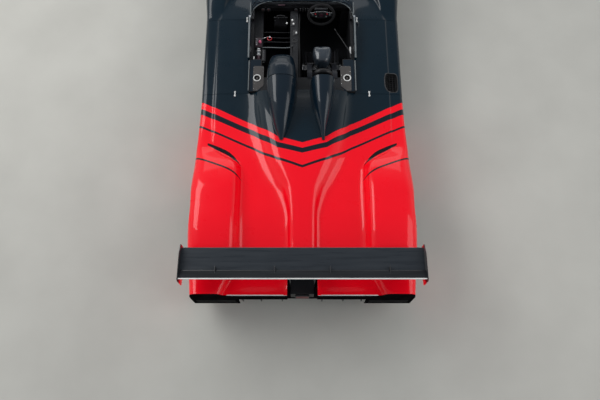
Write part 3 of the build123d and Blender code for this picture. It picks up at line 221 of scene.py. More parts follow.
# %% [markdown]
# ## Shapes as plain lists
#
# Real panels, tubes and trims are cut, turned, rolled or pressed. Each way of making has one
# helper here that returns points and faces in millimetres, so pieces can be joined, mirrored
# and moved before Blender sees them. A modelling tool used by hand would hide the sizes.

# %% Shape helpers
MM = 0.001
ROUND = 2 * math.pi
AXES = {"X": Matrix.Rotation(math.pi / 2, 3, "Y"), "Y": Matrix.Rotation(-math.pi / 2, 3, "X"),
        "Z": Matrix.Identity(3), "-Y": Matrix.Rotation(math.pi / 2, 3, "X")}


def joined(*shapes):
    points, faces = [], []
    for more_points, more_faces in shapes:
        start = len(points)
        points += more_points
        faces += [tuple(i + start for i in face) for face in more_faces]
    return points, faces


def moved(shape, offset, matrix=AXES["Z"]):
    return [tuple(matrix @ Vector(p) + Vector(offset)) for p in shape[0]], shape[1]


def copies(shape, places):
    return joined(*[moved(shape, at) for at in places])


def mirrored(shape):
    return [(-x, y, z) for x, y, z in shape[0]], [tuple(reversed(face)) for face in shape[1]]


def both_sides(*shapes):
    return joined(*shapes, mirrored(joined(*shapes)))


def lattice(rows, ring=True, capped=True):
    """Joins rows of equally many points, with a face over each end of a closed ring."""
    count = len(rows[0])
    points = [tuple(p) for row in rows for p in row]
    faces = []
    for r in range(0, len(points) - count, count):
        for c in range(count if ring else count - 1):
            d = (c + 1) % count
            faces.append((r + c, r + d, r + count + d, r + count + c))
    if ring and capped:
        faces.append(tuple(reversed(range(count))))
        faces.append(tuple(range(len(points) - count, len(points))))
    return points, faces


def turned(profile, centre=(0, 0, 0), axis="Z", steps=48, loop=False):
    """A lathe shape from (along, radius) points; a loop joins its last point to its first."""
    count = len(profile)
    points, faces = [], []
    for k in range(steps):
        a = ROUND * k / steps
        points += [(r * math.cos(a), r * math.sin(a), z) for z, r in profile]
        here, there = k * count, (k + 1) % steps * count
        for c in range(count if loop else count - 1):
            d = (c + 1) % count
            faces.append((here + c, there + c, there + d, here + d))
    for c in () if loop else (0, count - 1):
        if profile[c][1] > 0.01:
            faces.append(tuple(k * count + c for k in range(steps)))
    return moved((points, faces), centre, AXES[axis] if isinstance(axis, str) else axis)


def prism(outline, axis, start, end, middle=()):
    """An outline in the two other axes, drawn out along X, Y or Z."""
    def at(u, v, w):
        return {"X": (w, u, v), "Y": (u, w, v), "Z": (u, v, w)}[axis]
    return lattice([[at(u, v, w) for u, v in outline] for w in (start, *middle, end)])


def rounded(points, shares, steps, closed=True):
    """Rounds each corner of a line; a share of 0.5 uses each whole half side."""
    count = len(points)
    line = [] if closed else [tuple(points[0])]
    for i in range(count) if closed else range(1, count - 1):
        share = shares if isinstance(shares, float) else shares[i]
        before, corner, after = (np.array(points[(i + k) % count], float) for k in (-1, 0, 1))
        first, last = corner + (before - corner) * share, corner + (after - corner) * share
        for k in range(steps + 1):
            t = k / steps
            line.append(tuple(first * (1 - t) ** 2 + 2 * corner * t * (1 - t) + last * t * t))
    return line if closed else line + [tuple(points[-1])]


def slab(low, high, bevel=2.0, steps=2):
    """A block with rounded edges."""
    mesh = bmesh.new()
    bmesh.ops.create_cube(mesh, size=1.0)
    size = [b - a for a, b in zip(low, high)]
    for vertex in mesh.verts:
        vertex.co = [c * s + (a + b) / 2 for c, s, a, b in zip(vertex.co, size, low, high)]
    offset = min(bevel, min(size) * 0.45)
    bmesh.ops.bevel(mesh, geom=mesh.edges[:], offset=offset, segments=steps, affect="EDGES", profile=0.5)
    mesh.verts.index_update()
    shape = [tuple(v.co) for v in mesh.verts], [tuple(v.index for v in f.verts) for f in mesh.faces]
    mesh.free()
    return shape


def swept(path, section, across=(1, 0, 0), closed=False):
    """Carries a section, whose first axis stays along `across`, along a path."""
    path = [Vector(p) for p in path]
    rows = []
    for i, point in enumerate(path):
        if closed:
            along = path[(i + 1) % len(path)] - path[i - 1]
        else:
            along = path[min(i + 1, len(path) - 1)] - path[max(i - 1, 0)]
        along.normalize()
        side = Vector(across)
        side = (side - along * side.dot(along)).normalized()
        lift = side.cross(along)
        rows.append([tuple(point + side * u + lift * v) for u, v in section])
    return lattice(rows + rows[:1] if closed else rows, capped=not closed)


def circle(radius, steps=12):
    angles = [ROUND * k / steps for k in range(steps)]
    return [(radius * math.cos(a), radius * math.sin(a)) for a in angles]


def rectangle(width, height, corner, steps=3):
    outline = []
    for sx, sy, start in ((1, 1, 0), (-1, 1, 90), (-1, -1, 180), (1, -1, 270)):
        u, v = sx * (width / 2 - corner), sy * (height / 2 - corner)
        for k in range(steps + 1):
            a = math.radians(start + 90 * k / steps)
            outline.append((u + corner * math.cos(a), v + corner * math.sin(a)))
    return outline


def smooth_path(points, steps=8):
    """A smooth curve through points."""
    pts = [np.array(p, float) for p in points]
    pts = [2 * pts[0] - pts[1], *pts, 2 * pts[-1] - pts[-2]]
    line = []
    for a, b, c, d in zip(pts, pts[1:], pts[2:], pts[3:]):
        for k in range(steps):
            t = k / steps
            bend, twist = 2 * a - 5 * b + 4 * c - d, 3 * b - a - 3 * c + d
            line.append(tuple(0.5 * (2 * b + (c - a) * t + bend * t * t + twist * t**3)))
    return line + [tuple(pts[-2])]


def rod(points, radius, across, sides=10, steps=8):
    """A round bar along a smooth curve."""
    return swept(smooth_path(points, steps), circle(radius, sides), across)


# %% From shape to piece
def make_mesh(name, shape):
    mesh = bpy.data.meshes.new(name)
    mesh.from_pydata([(x * MM, y * MM, z * MM) for x, y, z in shape[0]], [], shape[1])
    work = bmesh.new()
    work.from_mesh(mesh)
    bmesh.ops.remove_doubles(work, verts=work.verts, dist=1e-6)
    bmesh.ops.dissolve_degenerate(work, edges=work.edges, dist=1e-7)
    bmesh.ops.recalc_face_normals(work, faces=work.faces)
    work.to_mesh(mesh)
    work.free()
    return make_object(name, mesh)


def applied(thing):
    """The object with its modifiers turned into mesh."""
    mesh = bpy.data.meshes.new_from_object(thing.evaluated_get(bpy.context.evaluated_depsgraph_get()))
    thing.modifiers.clear()
    thing.data = mesh
    return thing


def modified(thing, kind, **settings):
    modifier = thing.modifiers.new(kind, kind)
    for key, value in settings.items():
        setattr(modifier, key, value)
    return applied(thing)


def settle(thing, finish, body="chassis", sharp=34, replaces=None):
    """Gives a finished object its material, shading and body."""
    mesh = thing.data
    mesh.materials.clear()
    mesh.materials.append(bpy.data.materials[finish])
    mesh.shade_smooth()
    mesh.set_sharp_from_angle(angle=math.radians(sharp))
    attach(thing, body)
    if replaces:
        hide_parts(replaces)
    return thing


def piece(name, finish, *shapes, **more):
    return settle(make_mesh(name, joined(*shapes)), finish, **more)


def pair(name, finish, *shapes, **more):
    """A piece with its own mirror image on the other side of the car."""
    return piece(name, finish, both_sides(*shapes), **more)


def cut(thing, *cutters, operation="DIFFERENCE"):
    """Cuts closed shapes out of an object."""
    for shape in cutters:
        tool = make_mesh("cutter", shape)
        modified(thing, "BOOLEAN", operation=operation, solver="MANIFOLD", object=tool)
        bpy.data.objects.remove(tool)
    return thing


def walled(name, shape, thickness, even=False):
    """An open sheet given its thickness inwards."""
    thing = make_mesh(name, shape)
    return modified(thing, "SOLIDIFY", thickness=thickness * MM, offset=-1, use_even_offset=even)


print("helpers ready")

# %% [markdown]
# ## The body's lines
#
# A composite car is designed as sections across the car that change smoothly from nose to
# tail. The same lines that shaped the CAD panels are repeated here, but every section is
# rounded at its corners, so the skins flow where the CAD has facets. Sculpting would lose the
# exact widths and heights.

# %% Driving places along the car (Y) and main sizes, in millimetres
NOSE, TAIL = -2320, 2320
FRONT, REAR = -1320, 1560  # the axles
FORE_SEAM, AFT_SEAM = -420, 410
COCKPIT_FRONT, SHELL_END = -600, TAIL - 8
HALF, POD_HALF, TUB_HALF, NOTCH_HALF = 1000, 960, 500, 128
DECK_Z, RIM_Z, FLOOR_TOP = 606, 650, 75
SEAM_GAP, PANEL = 3, 8
FRONT_RADIUS, REAR_RADIUS = 325, 355
HUMP_X, HOOP_TOP, DRIVER_X = 187, 935, -190


# %% Lines and sections
def curve(knots):
    """A smooth curve that never overshoots its (distance behind a named place, value) knots."""
    stations, values = zip(*[(y + step, value) for y, line in knots.items() for step, value in line])
    steps = [b - a for a, b in zip(stations, stations[1:])]
    rises = [(b - a) / step for a, b, step in zip(values, values[1:], steps)]
    slopes = [2 * a * b / (a + b) if a * b > 0 else 0.0 for a, b in zip(rises, rises[1:])]
    slopes = [rises[0], *slopes, rises[-1]]

    def value_at(station):
        station = min(max(station, stations[0]), stations[-1])
        i = next((k for k in range(len(steps)) if station <= stations[k + 1]), len(steps) - 1)
        t = (station - stations[i]) / steps[i]
        low = values[i] * (1 + 2 * t) * (1 - t) ** 2 + slopes[i] * steps[i] * t * (1 - t) ** 2
        return low + values[i + 1] * t * t * (3 - 2 * t) + slopes[i + 1] * steps[i] * t * t * (t - 1)

    return value_at


half_width = curve({
    NOSE: [(0, 560), (40, 740), (110, 860), (220, 945), (400, 992)], FRONT: [(0, HALF), (500, 985)],
    FORE_SEAM: [(0, POD_HALF)], AFT_SEAM: [(0, POD_HALF)], REAR: [(-560, 975), (0, HALF), (400, 990)],
    TAIL: [(0, 955)],
})
sill_height = curve({NOSE: [(0, FLOOR_TOP)], REAR: [(0, FLOOR_TOP), (400, 150)], TAIL: [(0, 250)]})
fender_inner = curve({
    NOSE: [(0, 425), (400, 510)], FRONT: [(-100, 525), (250, 530), (560, 655), (670, 738)],
    FORE_SEAM: [(-40, 800), (0, 820)], AFT_SEAM: [(0, 820)],
    REAR: [(-600, 810), (-500, 700), (-430, 578), (-350, 548), (350, 550)], TAIL: [(-170, 608), (0, 678)],
})
deck_height = curve({
    NOSE: [(0, 128), (150, 175), (500, 320)], FRONT: [(-200, 475), (0, 510), (400, 572)],
    FORE_SEAM: [(-100, 602), (0, DECK_Z)], AFT_SEAM: [(0, DECK_Z)],
    REAR: [(-500, 630), (0, 628), (400, 575)], TAIL: [(-130, 548), (0, 575)],
})
crest_height = curve({
    NOSE: [(0, 132), (60, 225), (150, 335), (330, 520), (600, 655)],
    FRONT: [(-100, 715), (100, 717), (450, 676), (700, 630)], FORE_SEAM: [(0, 592)],
    AFT_SEAM: [(0, 592), (300, 600)],
    REAR: [(-600, 630), (-400, 706), (-120, 762), (60, 764), (350, 728)], TAIL: [(-180, 648), (0, 642)],
})
nose_height = curve({
    NOSE: [(0, 130), (60, 190), (200, 262), (500, 385)], FRONT: [(-250, 500), (0, 566), (400, 635)],
    COCKPIT_FRONT: [(0, 668)], FORE_SEAM: [(0, 668)],
})
nose_half = curve({
    NOSE: [(0, 290), (500, 325)], FRONT: [(0, 375), (400, 430)], COCKPIT_FRONT: [(0, 445)],
    FORE_SEAM: [(0, 445)],
})
spine_height = curve({
    AFT_SEAM: [(0, 690), (300, 735)], REAR: [(-500, 748), (-100, 716), (420, 640)], TAIL: [(0, 620)],
})
spine_shoulder = curve({
    AFT_SEAM: [(0, 385), (300, 340)], REAR: [(-500, 255), (-260, 160), (-150, 125), (100, 108)],
    TAIL: [(0, 104)],
})
spine_base = curve({
    AFT_SEAM: [(0, 470), (300, 432)], REAR: [(-500, 372), (-260, 272), (-150, 205), (90, 132)],
    TAIL: [(0, 130)],
})


def fender_line(y):
    inner, width, deck = fender_inner(y), half_width(y), deck_height(y)
    crest, sill = crest_height(y), sill_height(y)
    span, rise, height = width - inner, crest - deck, crest - sill
    return [
        (inner - 0.03 * span, deck), (inner + 0.06 * span, deck + 0.8 * rise),
        (inner + 0.20 * span, crest), (inner + 0.60 * span, crest),
        (inner + 0.84 * span, sill + 0.985 * height), (inner + 0.96 * span, sill + 0.90 * height),
        (width, sill + 0.68 * height), (width - 4, sill),
    ]


def nose_section(y):
    half, top = nose_half(y), nose_height(y)
    edge = top - 0.05 * (top - FLOOR_TOP)
    return [(0, top), (0.7 * half, top - 2), (half, edge), (half + 55, deck_height(y))] + fender_line(y)


def pod_section(y):
    return [(TUB_HALF + 1, DECK_Z), (TUB_HALF + 60, DECK_Z)] + fender_line(y)


def spine_section(y):
    shoulder, base, top = spine_shoulder(y), spine_base(y), spine_height(y)
    return [(0, top), (0.6 * shoulder, top), (shoulder, top - 12), (base, deck_height(y))] + fender_line(y)


FENDER_SHARES = [0.35, 0.5, 0.5, 0.5, 0.5, 0.5, 0.45, 0]
SHARES = {
    nose_section: [0.5, 0.5, 0.45, 0.45] + FENDER_SHARES,
    pod_section: [0, 0.5] + FENDER_SHARES,
    spine_section: [0.5, 0.5, 0.5, 0.45] + FENDER_SHARES,
}


def half_section(section, y):
    return rounded(section(y), SHARES[section], 5, closed=False)


def whole_section(section, y):
    """A rounded section from the right sill over the middle to the left sill."""
    half, shares = section(y), SHARES[section]
    points = [(-x, z) for x, z in half[:0:-1]] + half
    return rounded(points, shares[:0:-1] + shares, 5, closed=False)


def sheet_along(section, start, end, step=20, front=()):
    """Sections every few centimetres, joined to a sheet."""
    count = max(2, round((end - start) / step))
    rows = list(front)
    for k in range(count + 1):
        y = start + (end - start) * k / count
        rows.append([(x, y, z) for x, z in section(y)])
    return lattice(rows, ring=False)


# %% [markdown]
# ## Body skins
#
# On the real car the nose, the two side pods and the tail are separate carbon-fibre mouldings
# that meet at fine dark gaps. Each is made as one sheet of sections, given its thickness
# inwards with Solidify, and then cut for wheel arches, lamps, air outlets and the wing's
# slot. Cutting after thickening gives every opening a true edge.

# %% Openings
def arch_cutter(axle_y, centre_z, radius):
    """A wheel opening through both sides: round above, straight below."""
    angles = np.linspace(0, math.pi, 49)
    outline = [(axle_y + radius * math.cos(a), centre_z + radius * math.sin(a)) for a in angles]
    outline += [(axle_y - radius, -50), (axle_y + radius, -50)]
    return both_sides(prism(outline, "X", HALF - 85, HALF + 85))


def window(low, high, corner, axis):
    """A closed cutter with rounded corners along one axis."""
    u, v, w = {"X": (1, 2, 0), "Y": (0, 2, 1), "Z": (0, 1, 2)}[axis]
    shape = prism(rectangle(high[u] - low[u], high[v] - low[v], corner, 6), axis, low[w], high[w])
    offset = [(a + b) / 2 for a, b in zip(low, high)]
    offset[w] = 0
    return moved(shape, offset)


LAMP_X, LAMP_Y, LAMP_Z = 765, NOSE + 250, 350


def lamp_window(gap):
    low = (LAMP_X - 115 + gap, LAMP_Y - 180 + gap, LAMP_Z - 65 + gap)
    high = (LAMP_X + 115 - gap, LAMP_Y + 140 - gap, LAMP_Z + 65 - gap)
    return both_sides(window(low, high, 40 - gap, "Y"))


outlet = window((HALF - 150, FRONT + 420, 165), (HALF + 20, FORE_SEAM - 90, 470), 25, "X")
cockpit_cut = window((-TUB_HALF - 2, COCKPIT_FRONT - 6, 500), (TUB_HALF + 2, FORE_SEAM + 160, 800), 100, "Z")
notch_cut = window((-NOTCH_HALF, REAR + 425, 400), (NOTCH_HALF, TAIL + 60, 800), 24, "Z")

# %% [markdown]
# ## Body paint
#
# The front two thirds of the car are a deep blue-black and the tail is bright red. A broad
# and a fine dark band run back to a point on the spine, and two dark strokes lie on each rear
# fender. Paint on a mould is masked along straight lines seen from above, so the mask here is
# plain arithmetic on object coordinates. A painted image would stretch over the fenders.

# %% Paint recipe
NAVY, RED, INK = (0.001, 0.010, 0.018), (0.96, 0.001, 0.012), (0.004, 0.005, 0.007)
EDGE_SLOPE = 700.0  # a painted edge fades over 1/700 m
KNEE_X, STROKE_X = 0.22, 0.70  # metres from the middle: the lines' bend, the strokes' thickest place


def gloss(name, slot, coat):
    """Clear-coated paint with a faint orange peel."""
    finish = Finish(name, slot, specular_ior_level=0.1, coat_weight=coat, coat_roughness=0.05)
    finish.rough(finish.noise(9, 4), 0.26, 0.34)
    finish.bump(finish.noise(300, 1), 0.00001, 0.2)
    return finish


paint = gloss("body_paint", "red_paint", 0.5)
x, y, z = paint.axes()
side = abs(x)
knee = (KNEE_X - abs(side - KNEE_X)).at_least(0.0)


def behind(start, slope, bend=0.23):
    """1 where the surface lies behind a line that runs back to the middle and bends at its knee."""
    return ((y + side * slope - knee * bend - start) * EDGE_SLOPE + 0.5).clamped()


def stroke(start, slope, hook, thickest, fullness, inner, outer):
    """A brush stroke on a rear fender, hooked back at its inner end."""
    off, short = side - STROKE_X, (STROKE_X - side).at_least(0.0)
    line = y + side * slope - start - short * short * hook
    width = (thickest - off * off * fullness) * ((side - inner) * 16.0).clamped()
    return ((width - abs(line)) * EDGE_SLOPE).clamped() * (side > inner) * (side < outer)


broad_band = behind(1.033, 0.504) - behind(1.081, 0.491)
fine_band = behind(1.196, 0.487, 0.12) - behind(1.220, 0.489, 0.12)
bands = broad_band.at_least(fine_band)
strokes = stroke(1.362, 0.49, 3.0, 0.022, 0.4, 0.540, 0.858)
strokes = strokes.at_least(stroke(1.492, 0.42, 1.5, 0.010, 0.0, 0.525, 1.2))
coat_colour = paint.mix(bands, paint.mix(behind(0.980, 0.521), NAVY, RED), (0.004, 0.010, 0.016))
patchy = paint.spread(paint.noise(1.6, 3), 0.96, 1.0)
paint.shader("Base Color", paint.mix(1.0 - patchy, paint.mix(strokes, coat_colour, INK), (0.0, 0.0, 0.0)))
print("paint nodes", len(paint.tree.nodes))

dark = gloss("dark_paint", "navy_paint", 0.55)
dark.colour(dark.noise(1.6, 3), (0.0035, 0.010, 0.0175), (0.0045, 0.012, 0.0205))


# %% Panels
def skin(name, shape, thickness, finish, *cutters, replaces=None):
    return settle(cut(walled(name, shape, thickness, even=True), *cutters), finish, replaces=replaces)


def whole_nose(y):
    return whole_section(nose_section, y)


# the nose's rounded leading edge: flattened copies of its first section
first, lip = whole_nose(NOSE + 6), []
for share, back_by in ((0.02, 3.0), (0.35, 1.2), (0.7, 2.2), (0.9, 4.0)):
    narrower = 0.985 + 0.015 * share
    lip.append([(x * narrower, NOSE + back_by, FLOOR_TOP + share * (z - FLOOR_TOP)) for x, z in first])
skin("nose_skin", sheet_along(whole_nose, NOSE + 6, FORE_SEAM - SEAM_GAP, front=lip), PANEL, "body_paint",
     arch_cutter(FRONT, FRONT_RADIUS - 25, 380), lamp_window(0), both_sides(outlet), cockpit_cut,
     replaces="front_bodywork")

pod_sheet = sheet_along(lambda y: half_section(pod_section, y), FORE_SEAM, AFT_SEAM, 30)
skin("left_pod_skin", pod_sheet, PANEL, "body_paint", replaces="left_sidepod")
SCOOP = [(-905, 188), (-905, 384), (-812, 384), (-788, 330), (-788, 240), (-800, 188)]
SCOOP = rounded(SCOOP, 0.3, 5)
skin("right_pod_skin", mirrored(pod_sheet), PANEL, "body_paint", prism(SCOOP, "Z", 540, 700),
     replaces="right_sidepod")

tail_sheet = sheet_along(lambda y: whole_section(spine_section, y), AFT_SEAM + SEAM_GAP, SHELL_END)
tail = skin("tail_skin", tail_sheet, PANEL, "body_paint", arch_cutter(REAR, REAR_RADIUS - 12, 369), notch_cut)
print("tail skin faces", len(tail.data.polygons))

# %% [markdown]
# ## Fairings behind the two seats
#
# Two long teardrop fairings run back from the roll hoops. The one behind the driver is open
# at its front, around the hoop. The other has a rounded front part of its own that stands
# over the empty seat. Both are half-round sections whose width and height die out together.

# %% Hump skins
def hump_skin(name, x, half, base, top, start, end, step=16, replaces=None):
    def section(y):
        rise = top(y) - base(y)
        right = [(half(y), 0), (half(y), 0.30 * rise), (0.93 * half(y), 0.78 * rise), (0.52 * half(y), rise)]
        points = [(u, base(y) + v) for u, v in right + [(-u, v) for u, v in reversed(right)]]
        return [(x + u, v) for u, v in rounded(points, 0.5, 5, closed=False)]

    skin(name, sheet_along(section, start, end, step), 6, "dark_paint", replaces=replaces)


base_line = curve({0: [(0, 650)], AFT_SEAM: [(0, 645), (440, 655)], REAR: [(-600, 712)]})
cover_top = curve({
    AFT_SEAM: [(0, HOOP_TOP + 20), (140, HOOP_TOP + 2), (300, HOOP_TOP - 46), (440, HOOP_TOP - 112)],
    REAR: [(-600, 752)],
})
for name, x, widest in (("left_hump_skin", HUMP_X, 142), ("driver_hump_skin", -HUMP_X, 114)):
    cover_half = curve({
        AFT_SEAM: [(0, widest), (140, widest - 14), (300, widest - 46), (440, widest - 82)],
        REAR: [(-600, 12)],
    })
    hump_skin(name, x, cover_half, base_line, cover_top, AFT_SEAM + SEAM_GAP, REAR - 602)
fairing_half = curve({
    0: [(66, 6), (70, 40), (80, 66), (100, 92), (150, 115), (240, 130), (300, 137), (AFT_SEAM, 142)],
})
fairing_top = curve({
    0: [(66, 662), (70, 700), (80, 735), (100, 785), (150, 860), (240, 918), (300, 944), (AFT_SEAM, 955)],
})
hump_skin("seat_fairing_skin", HUMP_X, fairing_half, curve({0: [(66, 651), (AFT_SEAM, 651)]}), fairing_top,
          66, AFT_SEAM - SEAM_GAP, 9, replaces="hoop_fairing")
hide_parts("rear_bodywork")

# %% [markdown]
# ## Finishes
#
# A race car has few finishes but each is distinct: woven carbon, cast and machined alloy,
# black steel, slick rubber, suede, webbing and clear plastic. Each recipe mixes colour,
# roughness and a fine bump from object coordinates, so it stays at its true scale on any
# piece. One flat colour would look like a toy.

# %% Woven carbon
STRAND = 0.004  # width of one strand, in metres


def carbon(name, roughness, coat):
    """Two-by-two twill on whichever two axes lie along the surface."""
    twill = Finish(name, "carbon", roughness=roughness, specular_ior_level=0.25, coat_weight=coat,
                   coat_roughness=0.12)
    x, y, z = twill.axes()
    facing = [abs(n) for n in twill.axes(twill.place(output="Normal"))]
    upward = facing[2] > facing[0].at_least(facing[1])
    sideways = facing[0] > facing[1]

    def choose(flag, if_true, if_false):
        return flag * if_true + (1.0 - flag) * if_false

    u, v = choose(upward, x, choose(sideways, y, x)) / STRAND, choose(upward, y, z) / STRAND
    step = twill.calc("FLOOR", u) + twill.calc("FLOOR", v)
    over = twill.calc("FLOORED_MODULO", step, 4.0) < 1.5
    rib = choose(over, *[abs(twill.calc("SINE", w * math.pi)) for w in (u, v)])
    shade = rib * 0.5 + over * 0.5
    twill.shader("Base Color", twill.mix(shade, (0.004, 0.004, 0.005), (0.020, 0.021, 0.023)))
    twill.bump(rib, 0.0002, 0.5)


carbon("carbon_satin", 0.42, 0.08)
carbon("carbon_gloss", 0.32, 0.8)


# %% Worn and even surfaces
def surface(name, slot, dark, light, rough, scale, depth=0.0, stretch=(1, 1, 1), grain=None, **values):
    """Colour and roughness that wander a little, and a bump of a given depth in millimetres."""
    finish = Finish(name, slot, **values)
    finish.colour(finish.noise(scale, 4.0, stretch), dark, light)
    finish.rough(finish.noise(scale * 0.4, 4.0, stretch), *rough)
    if depth:
        finish.bump(finish.noise(grain or scale * 6, 2.0, stretch), depth * MM)


EVEN, ALONG_X, ALONG_Z, SLOW_X = (1, 1, 1), (18, 1, 1), (1, 1, 14), (0.3, 1, 1)
surface("black_plastic", "carbon", (0.010, 0.010, 0.011), (0.020, 0.020, 0.022), (0.35, 0.5), 60, 0.06)
surface("matte_black", "carbon", (0.006, 0.006, 0.006), (0.012, 0.012, 0.013), (0.6, 0.8), 25, 0.08)
surface("flap_black", "wing_paint", (0.008, 0.009, 0.011), (0.016, 0.018, 0.021), (0.4, 0.55), 8, 0.03,
        (0.4, 5, 2), 200, specular_ior_level=0.12)
surface("tail_matt", "carbon", (0.003, 0.003, 0.003), (0.007, 0.007, 0.008), (0.6, 0.75), 14, 0.05,
        specular_ior_level=0.0)
surface("hoop_black", "hoop_steel", (0.005, 0.005, 0.006), (0.012, 0.012, 0.013), (0.25, 0.4), 30, 0.03,
        specular_ior_level=0.3)
surface("arm_black", "arm_steel", (0.012, 0.012, 0.013), (0.03, 0.03, 0.032), (0.3, 0.45), 50, 0.05)
surface("cast_alloy", "engine_alloy", (0.26, 0.26, 0.265), (0.42, 0.42, 0.425), (0.45, 0.65), 25, 0.3, EVEN,
        600, metallic=0.9)
surface("gearbox_cast", "gearbox_alloy", (0.17, 0.175, 0.18), (0.29, 0.295, 0.30), (0.45, 0.6), 20, 0.3, EVEN,
        500, metallic=0.9)
surface("milled_alloy", "upright_alloy", (0.42, 0.43, 0.44), (0.55, 0.56, 0.57), (0.25, 0.4), 12, 0.04,
        ALONG_Z, 300, metallic=1.0)
surface("turned_steel", "shaft_steel", (0.42, 0.43, 0.45), (0.58, 0.59, 0.61), (0.2, 0.35), 20, 0.03,
        ALONG_X, 200, metallic=1.0)
surface("pin_steel", "hinge_steel", (0.62, 0.63, 0.64), (0.75, 0.76, 0.77), (0.2, 0.35), 40, 0.03,
        metallic=1.0)
surface("rim_alloy", "rim", (0.055, 0.057, 0.06), (0.085, 0.087, 0.09), (0.28, 0.4), 30, 0.04, metallic=0.8)
surface("disc_iron", "brake_iron", (0.13, 0.13, 0.13), (0.17, 0.167, 0.162), (0.3, 0.45), 60, 0.03, SLOW_X,
        300, metallic=0.85)
surface("fin_alloy", "radiator_alloy", (0.20, 0.21, 0.22), (0.36, 0.37, 0.38), (0.35, 0.5), 30, 0.1,
        metallic=1.0)
surface("pale_trim", "hinge_steel", (0.60, 0.60, 0.58), (0.74, 0.74, 0.72), (0.3, 0.45), 18, 0.03)
surface("grey_trim", "hinge_steel", (0.10, 0.115, 0.12), (0.16, 0.175, 0.18), (0.35, 0.5), 14, 0.03)
surface("shoulder_panel", "carbon", (0.040, 0.036, 0.034), (0.062, 0.056, 0.052), (0.4, 0.55), 9, 0.06)
surface("red_plastic", "rain_lamp", (0.42, 0.006, 0.014), (0.52, 0.009, 0.022), (0.25, 0.35), 30, 0.02,
        coat_weight=0.5)
surface("pink_plastic", "rain_lamp", (0.62, 0.10, 0.20), (0.75, 0.16, 0.28), (0.3, 0.4), 30, 0.02)
surface("dark_magenta", "rain_lamp", (0.020, 0.002, 0.008), (0.034, 0.004, 0.013), (0.4, 0.55), 30, 0.04)
surface("lamp_red_lens", "rain_lamp", (0.16, 0.003, 0.004), (0.22, 0.004, 0.006), (0.08, 0.15), 60, 0.06,
        coat_weight=1.0)
surface("lamp_chrome", "lamp", (0.78, 0.79, 0.81), (0.84, 0.85, 0.87), (0.12, 0.2), 20, metallic=0.45)
surface("mirror_face", "lamp", (0.80, 0.82, 0.84), (0.84, 0.86, 0.88), (0.0, 0.03), 8, metallic=1.0)
surface("wheel_suede", "grip_rubber", (0.006, 0.006, 0.007), (0.016, 0.016, 0.017), (0.8, 0.95), 160, 0.3,
        sheen_weight=0.08, sheen_roughness=0.4, specular_ior_level=0.2)
surface("white_plastic", "lamp_cover", (0.68, 0.68, 0.66), (0.80, 0.80, 0.78), (0.35, 0.5), 40, 0.03)
surface("display_glass", "screen", (0.012, 0.014, 0.018), (0.02, 0.024, 0.03), (0.05, 0.1), 10)
surface("mirror_gloss", "mirror_paint", (0.010, 0.016, 0.022), (0.014, 0.021, 0.029), (0.25, 0.32), 12,
        coat_weight=0.7, coat_roughness=0.04)

plank = Finish("pressed_wood", "plank_wood", roughness=0.6)
inputs = {"Scale": 18.0, "Distortion": 4.0, "Detail": 3.0, "Vector": plank.place((1, 0.06, 1))}
rings = plank.node("ShaderNodeTexWave", inputs, bands_direction="X").outputs[1]
plank.shader("Base Color", plank.mix(rings, (0.20, 0.12, 0.06), (0.34, 0.22, 0.12)))
plank.bump(rings, 0.0002, 0.4)


# %% Clear plastic, cloth and rubber
TINTS = (("screen_clear", "screen", (0.86, 0.90, 0.92)), ("lamp_clear", "lamp_cover", (0.93, 0.95, 0.96)))
for name, slot, tint in TINTS:
    clear = Finish(name, slot, transmission_weight=1.0, ior=1.30, base_color=tint)
    clear.rough(clear.noise(12, 3), 0.0, 0.04)

rubber = Finish("tyre_rubber", "tyre", specular_ior_level=0.35)
scuff, grit = rubber.noise(7, 6, (1, 3, 3)), rubber.noise(90, 3)
tread = rubber.mix(rubber.spread(scuff), (0.013, 0.013, 0.014), (0.034, 0.033, 0.032))
rubber.shader("Base Color", rubber.mix(rubber.spread(grit, 0.0, 0.5), tread, (0.022, 0.022, 0.022)))
rubber.rough(scuff, 0.55, 0.85)
rubber.bump(grit, 0.0004, 0.7)


def cloth(name, dark, light, thread):
    """A plain weave that lies across X, with threads of a width in metres."""
    weave = Finish(name, "seat_fabric", roughness=0.9, specular_ior_level=0.2, sheen_weight=0.1,
                   sheen_roughness=0.5)
    x, y, z = weave.axes()
    across, along = [weave.calc("SINE", place / thread * math.pi) for place in (x, y + z)]
    height = across * along * 0.5 + 0.5
    fuzz = weave.spread(weave.noise(55, 5))
    weave.shader("Base Color", weave.mix(height * 0.5 + fuzz * 0.5, dark, light))
    weave.bump(height, thread * 0.3, 0.8)


cloth("seat_cloth", (0.006, 0.006, 0.008), (0.024, 0.024, 0.028), 0.0022)
cloth("webbing", (0.006, 0.007, 0.010), (0.020, 0.022, 0.028), 0.0030)

leather = Finish("grained_leather", "headrest_leather", coat_weight=0.6, coat_roughness=0.12)
inputs = {"Scale": 420, "Vector": leather.place()}
cells = leather.node("ShaderNodeTexVoronoi", inputs, feature="DISTANCE_TO_EDGE")
leather.colour(leather.noise(14, 4), (0.010, 0.015, 0.021), (0.022, 0.032, 0.044))
leather.rough(leather.noise(30, 3), 0.32, 0.45)
leather.bump(cells.outputs[0], 0.0004, 0.5)

lacquer = Finish("wing_finish", "wing_paint", specular_ior_level=0.2, coat_weight=0.45, coat_roughness=0.1)
smear = lacquer.noise(5, 4, (0.5, 6, 2))
lacquer.colour(smear, (0.016, 0.020, 0.025), (0.024, 0.029, 0.035))
lacquer.rough(smear, 0.22, 0.4)
lacquer.bump(lacquer.noise(120, 2), 0.00004, 0.4)

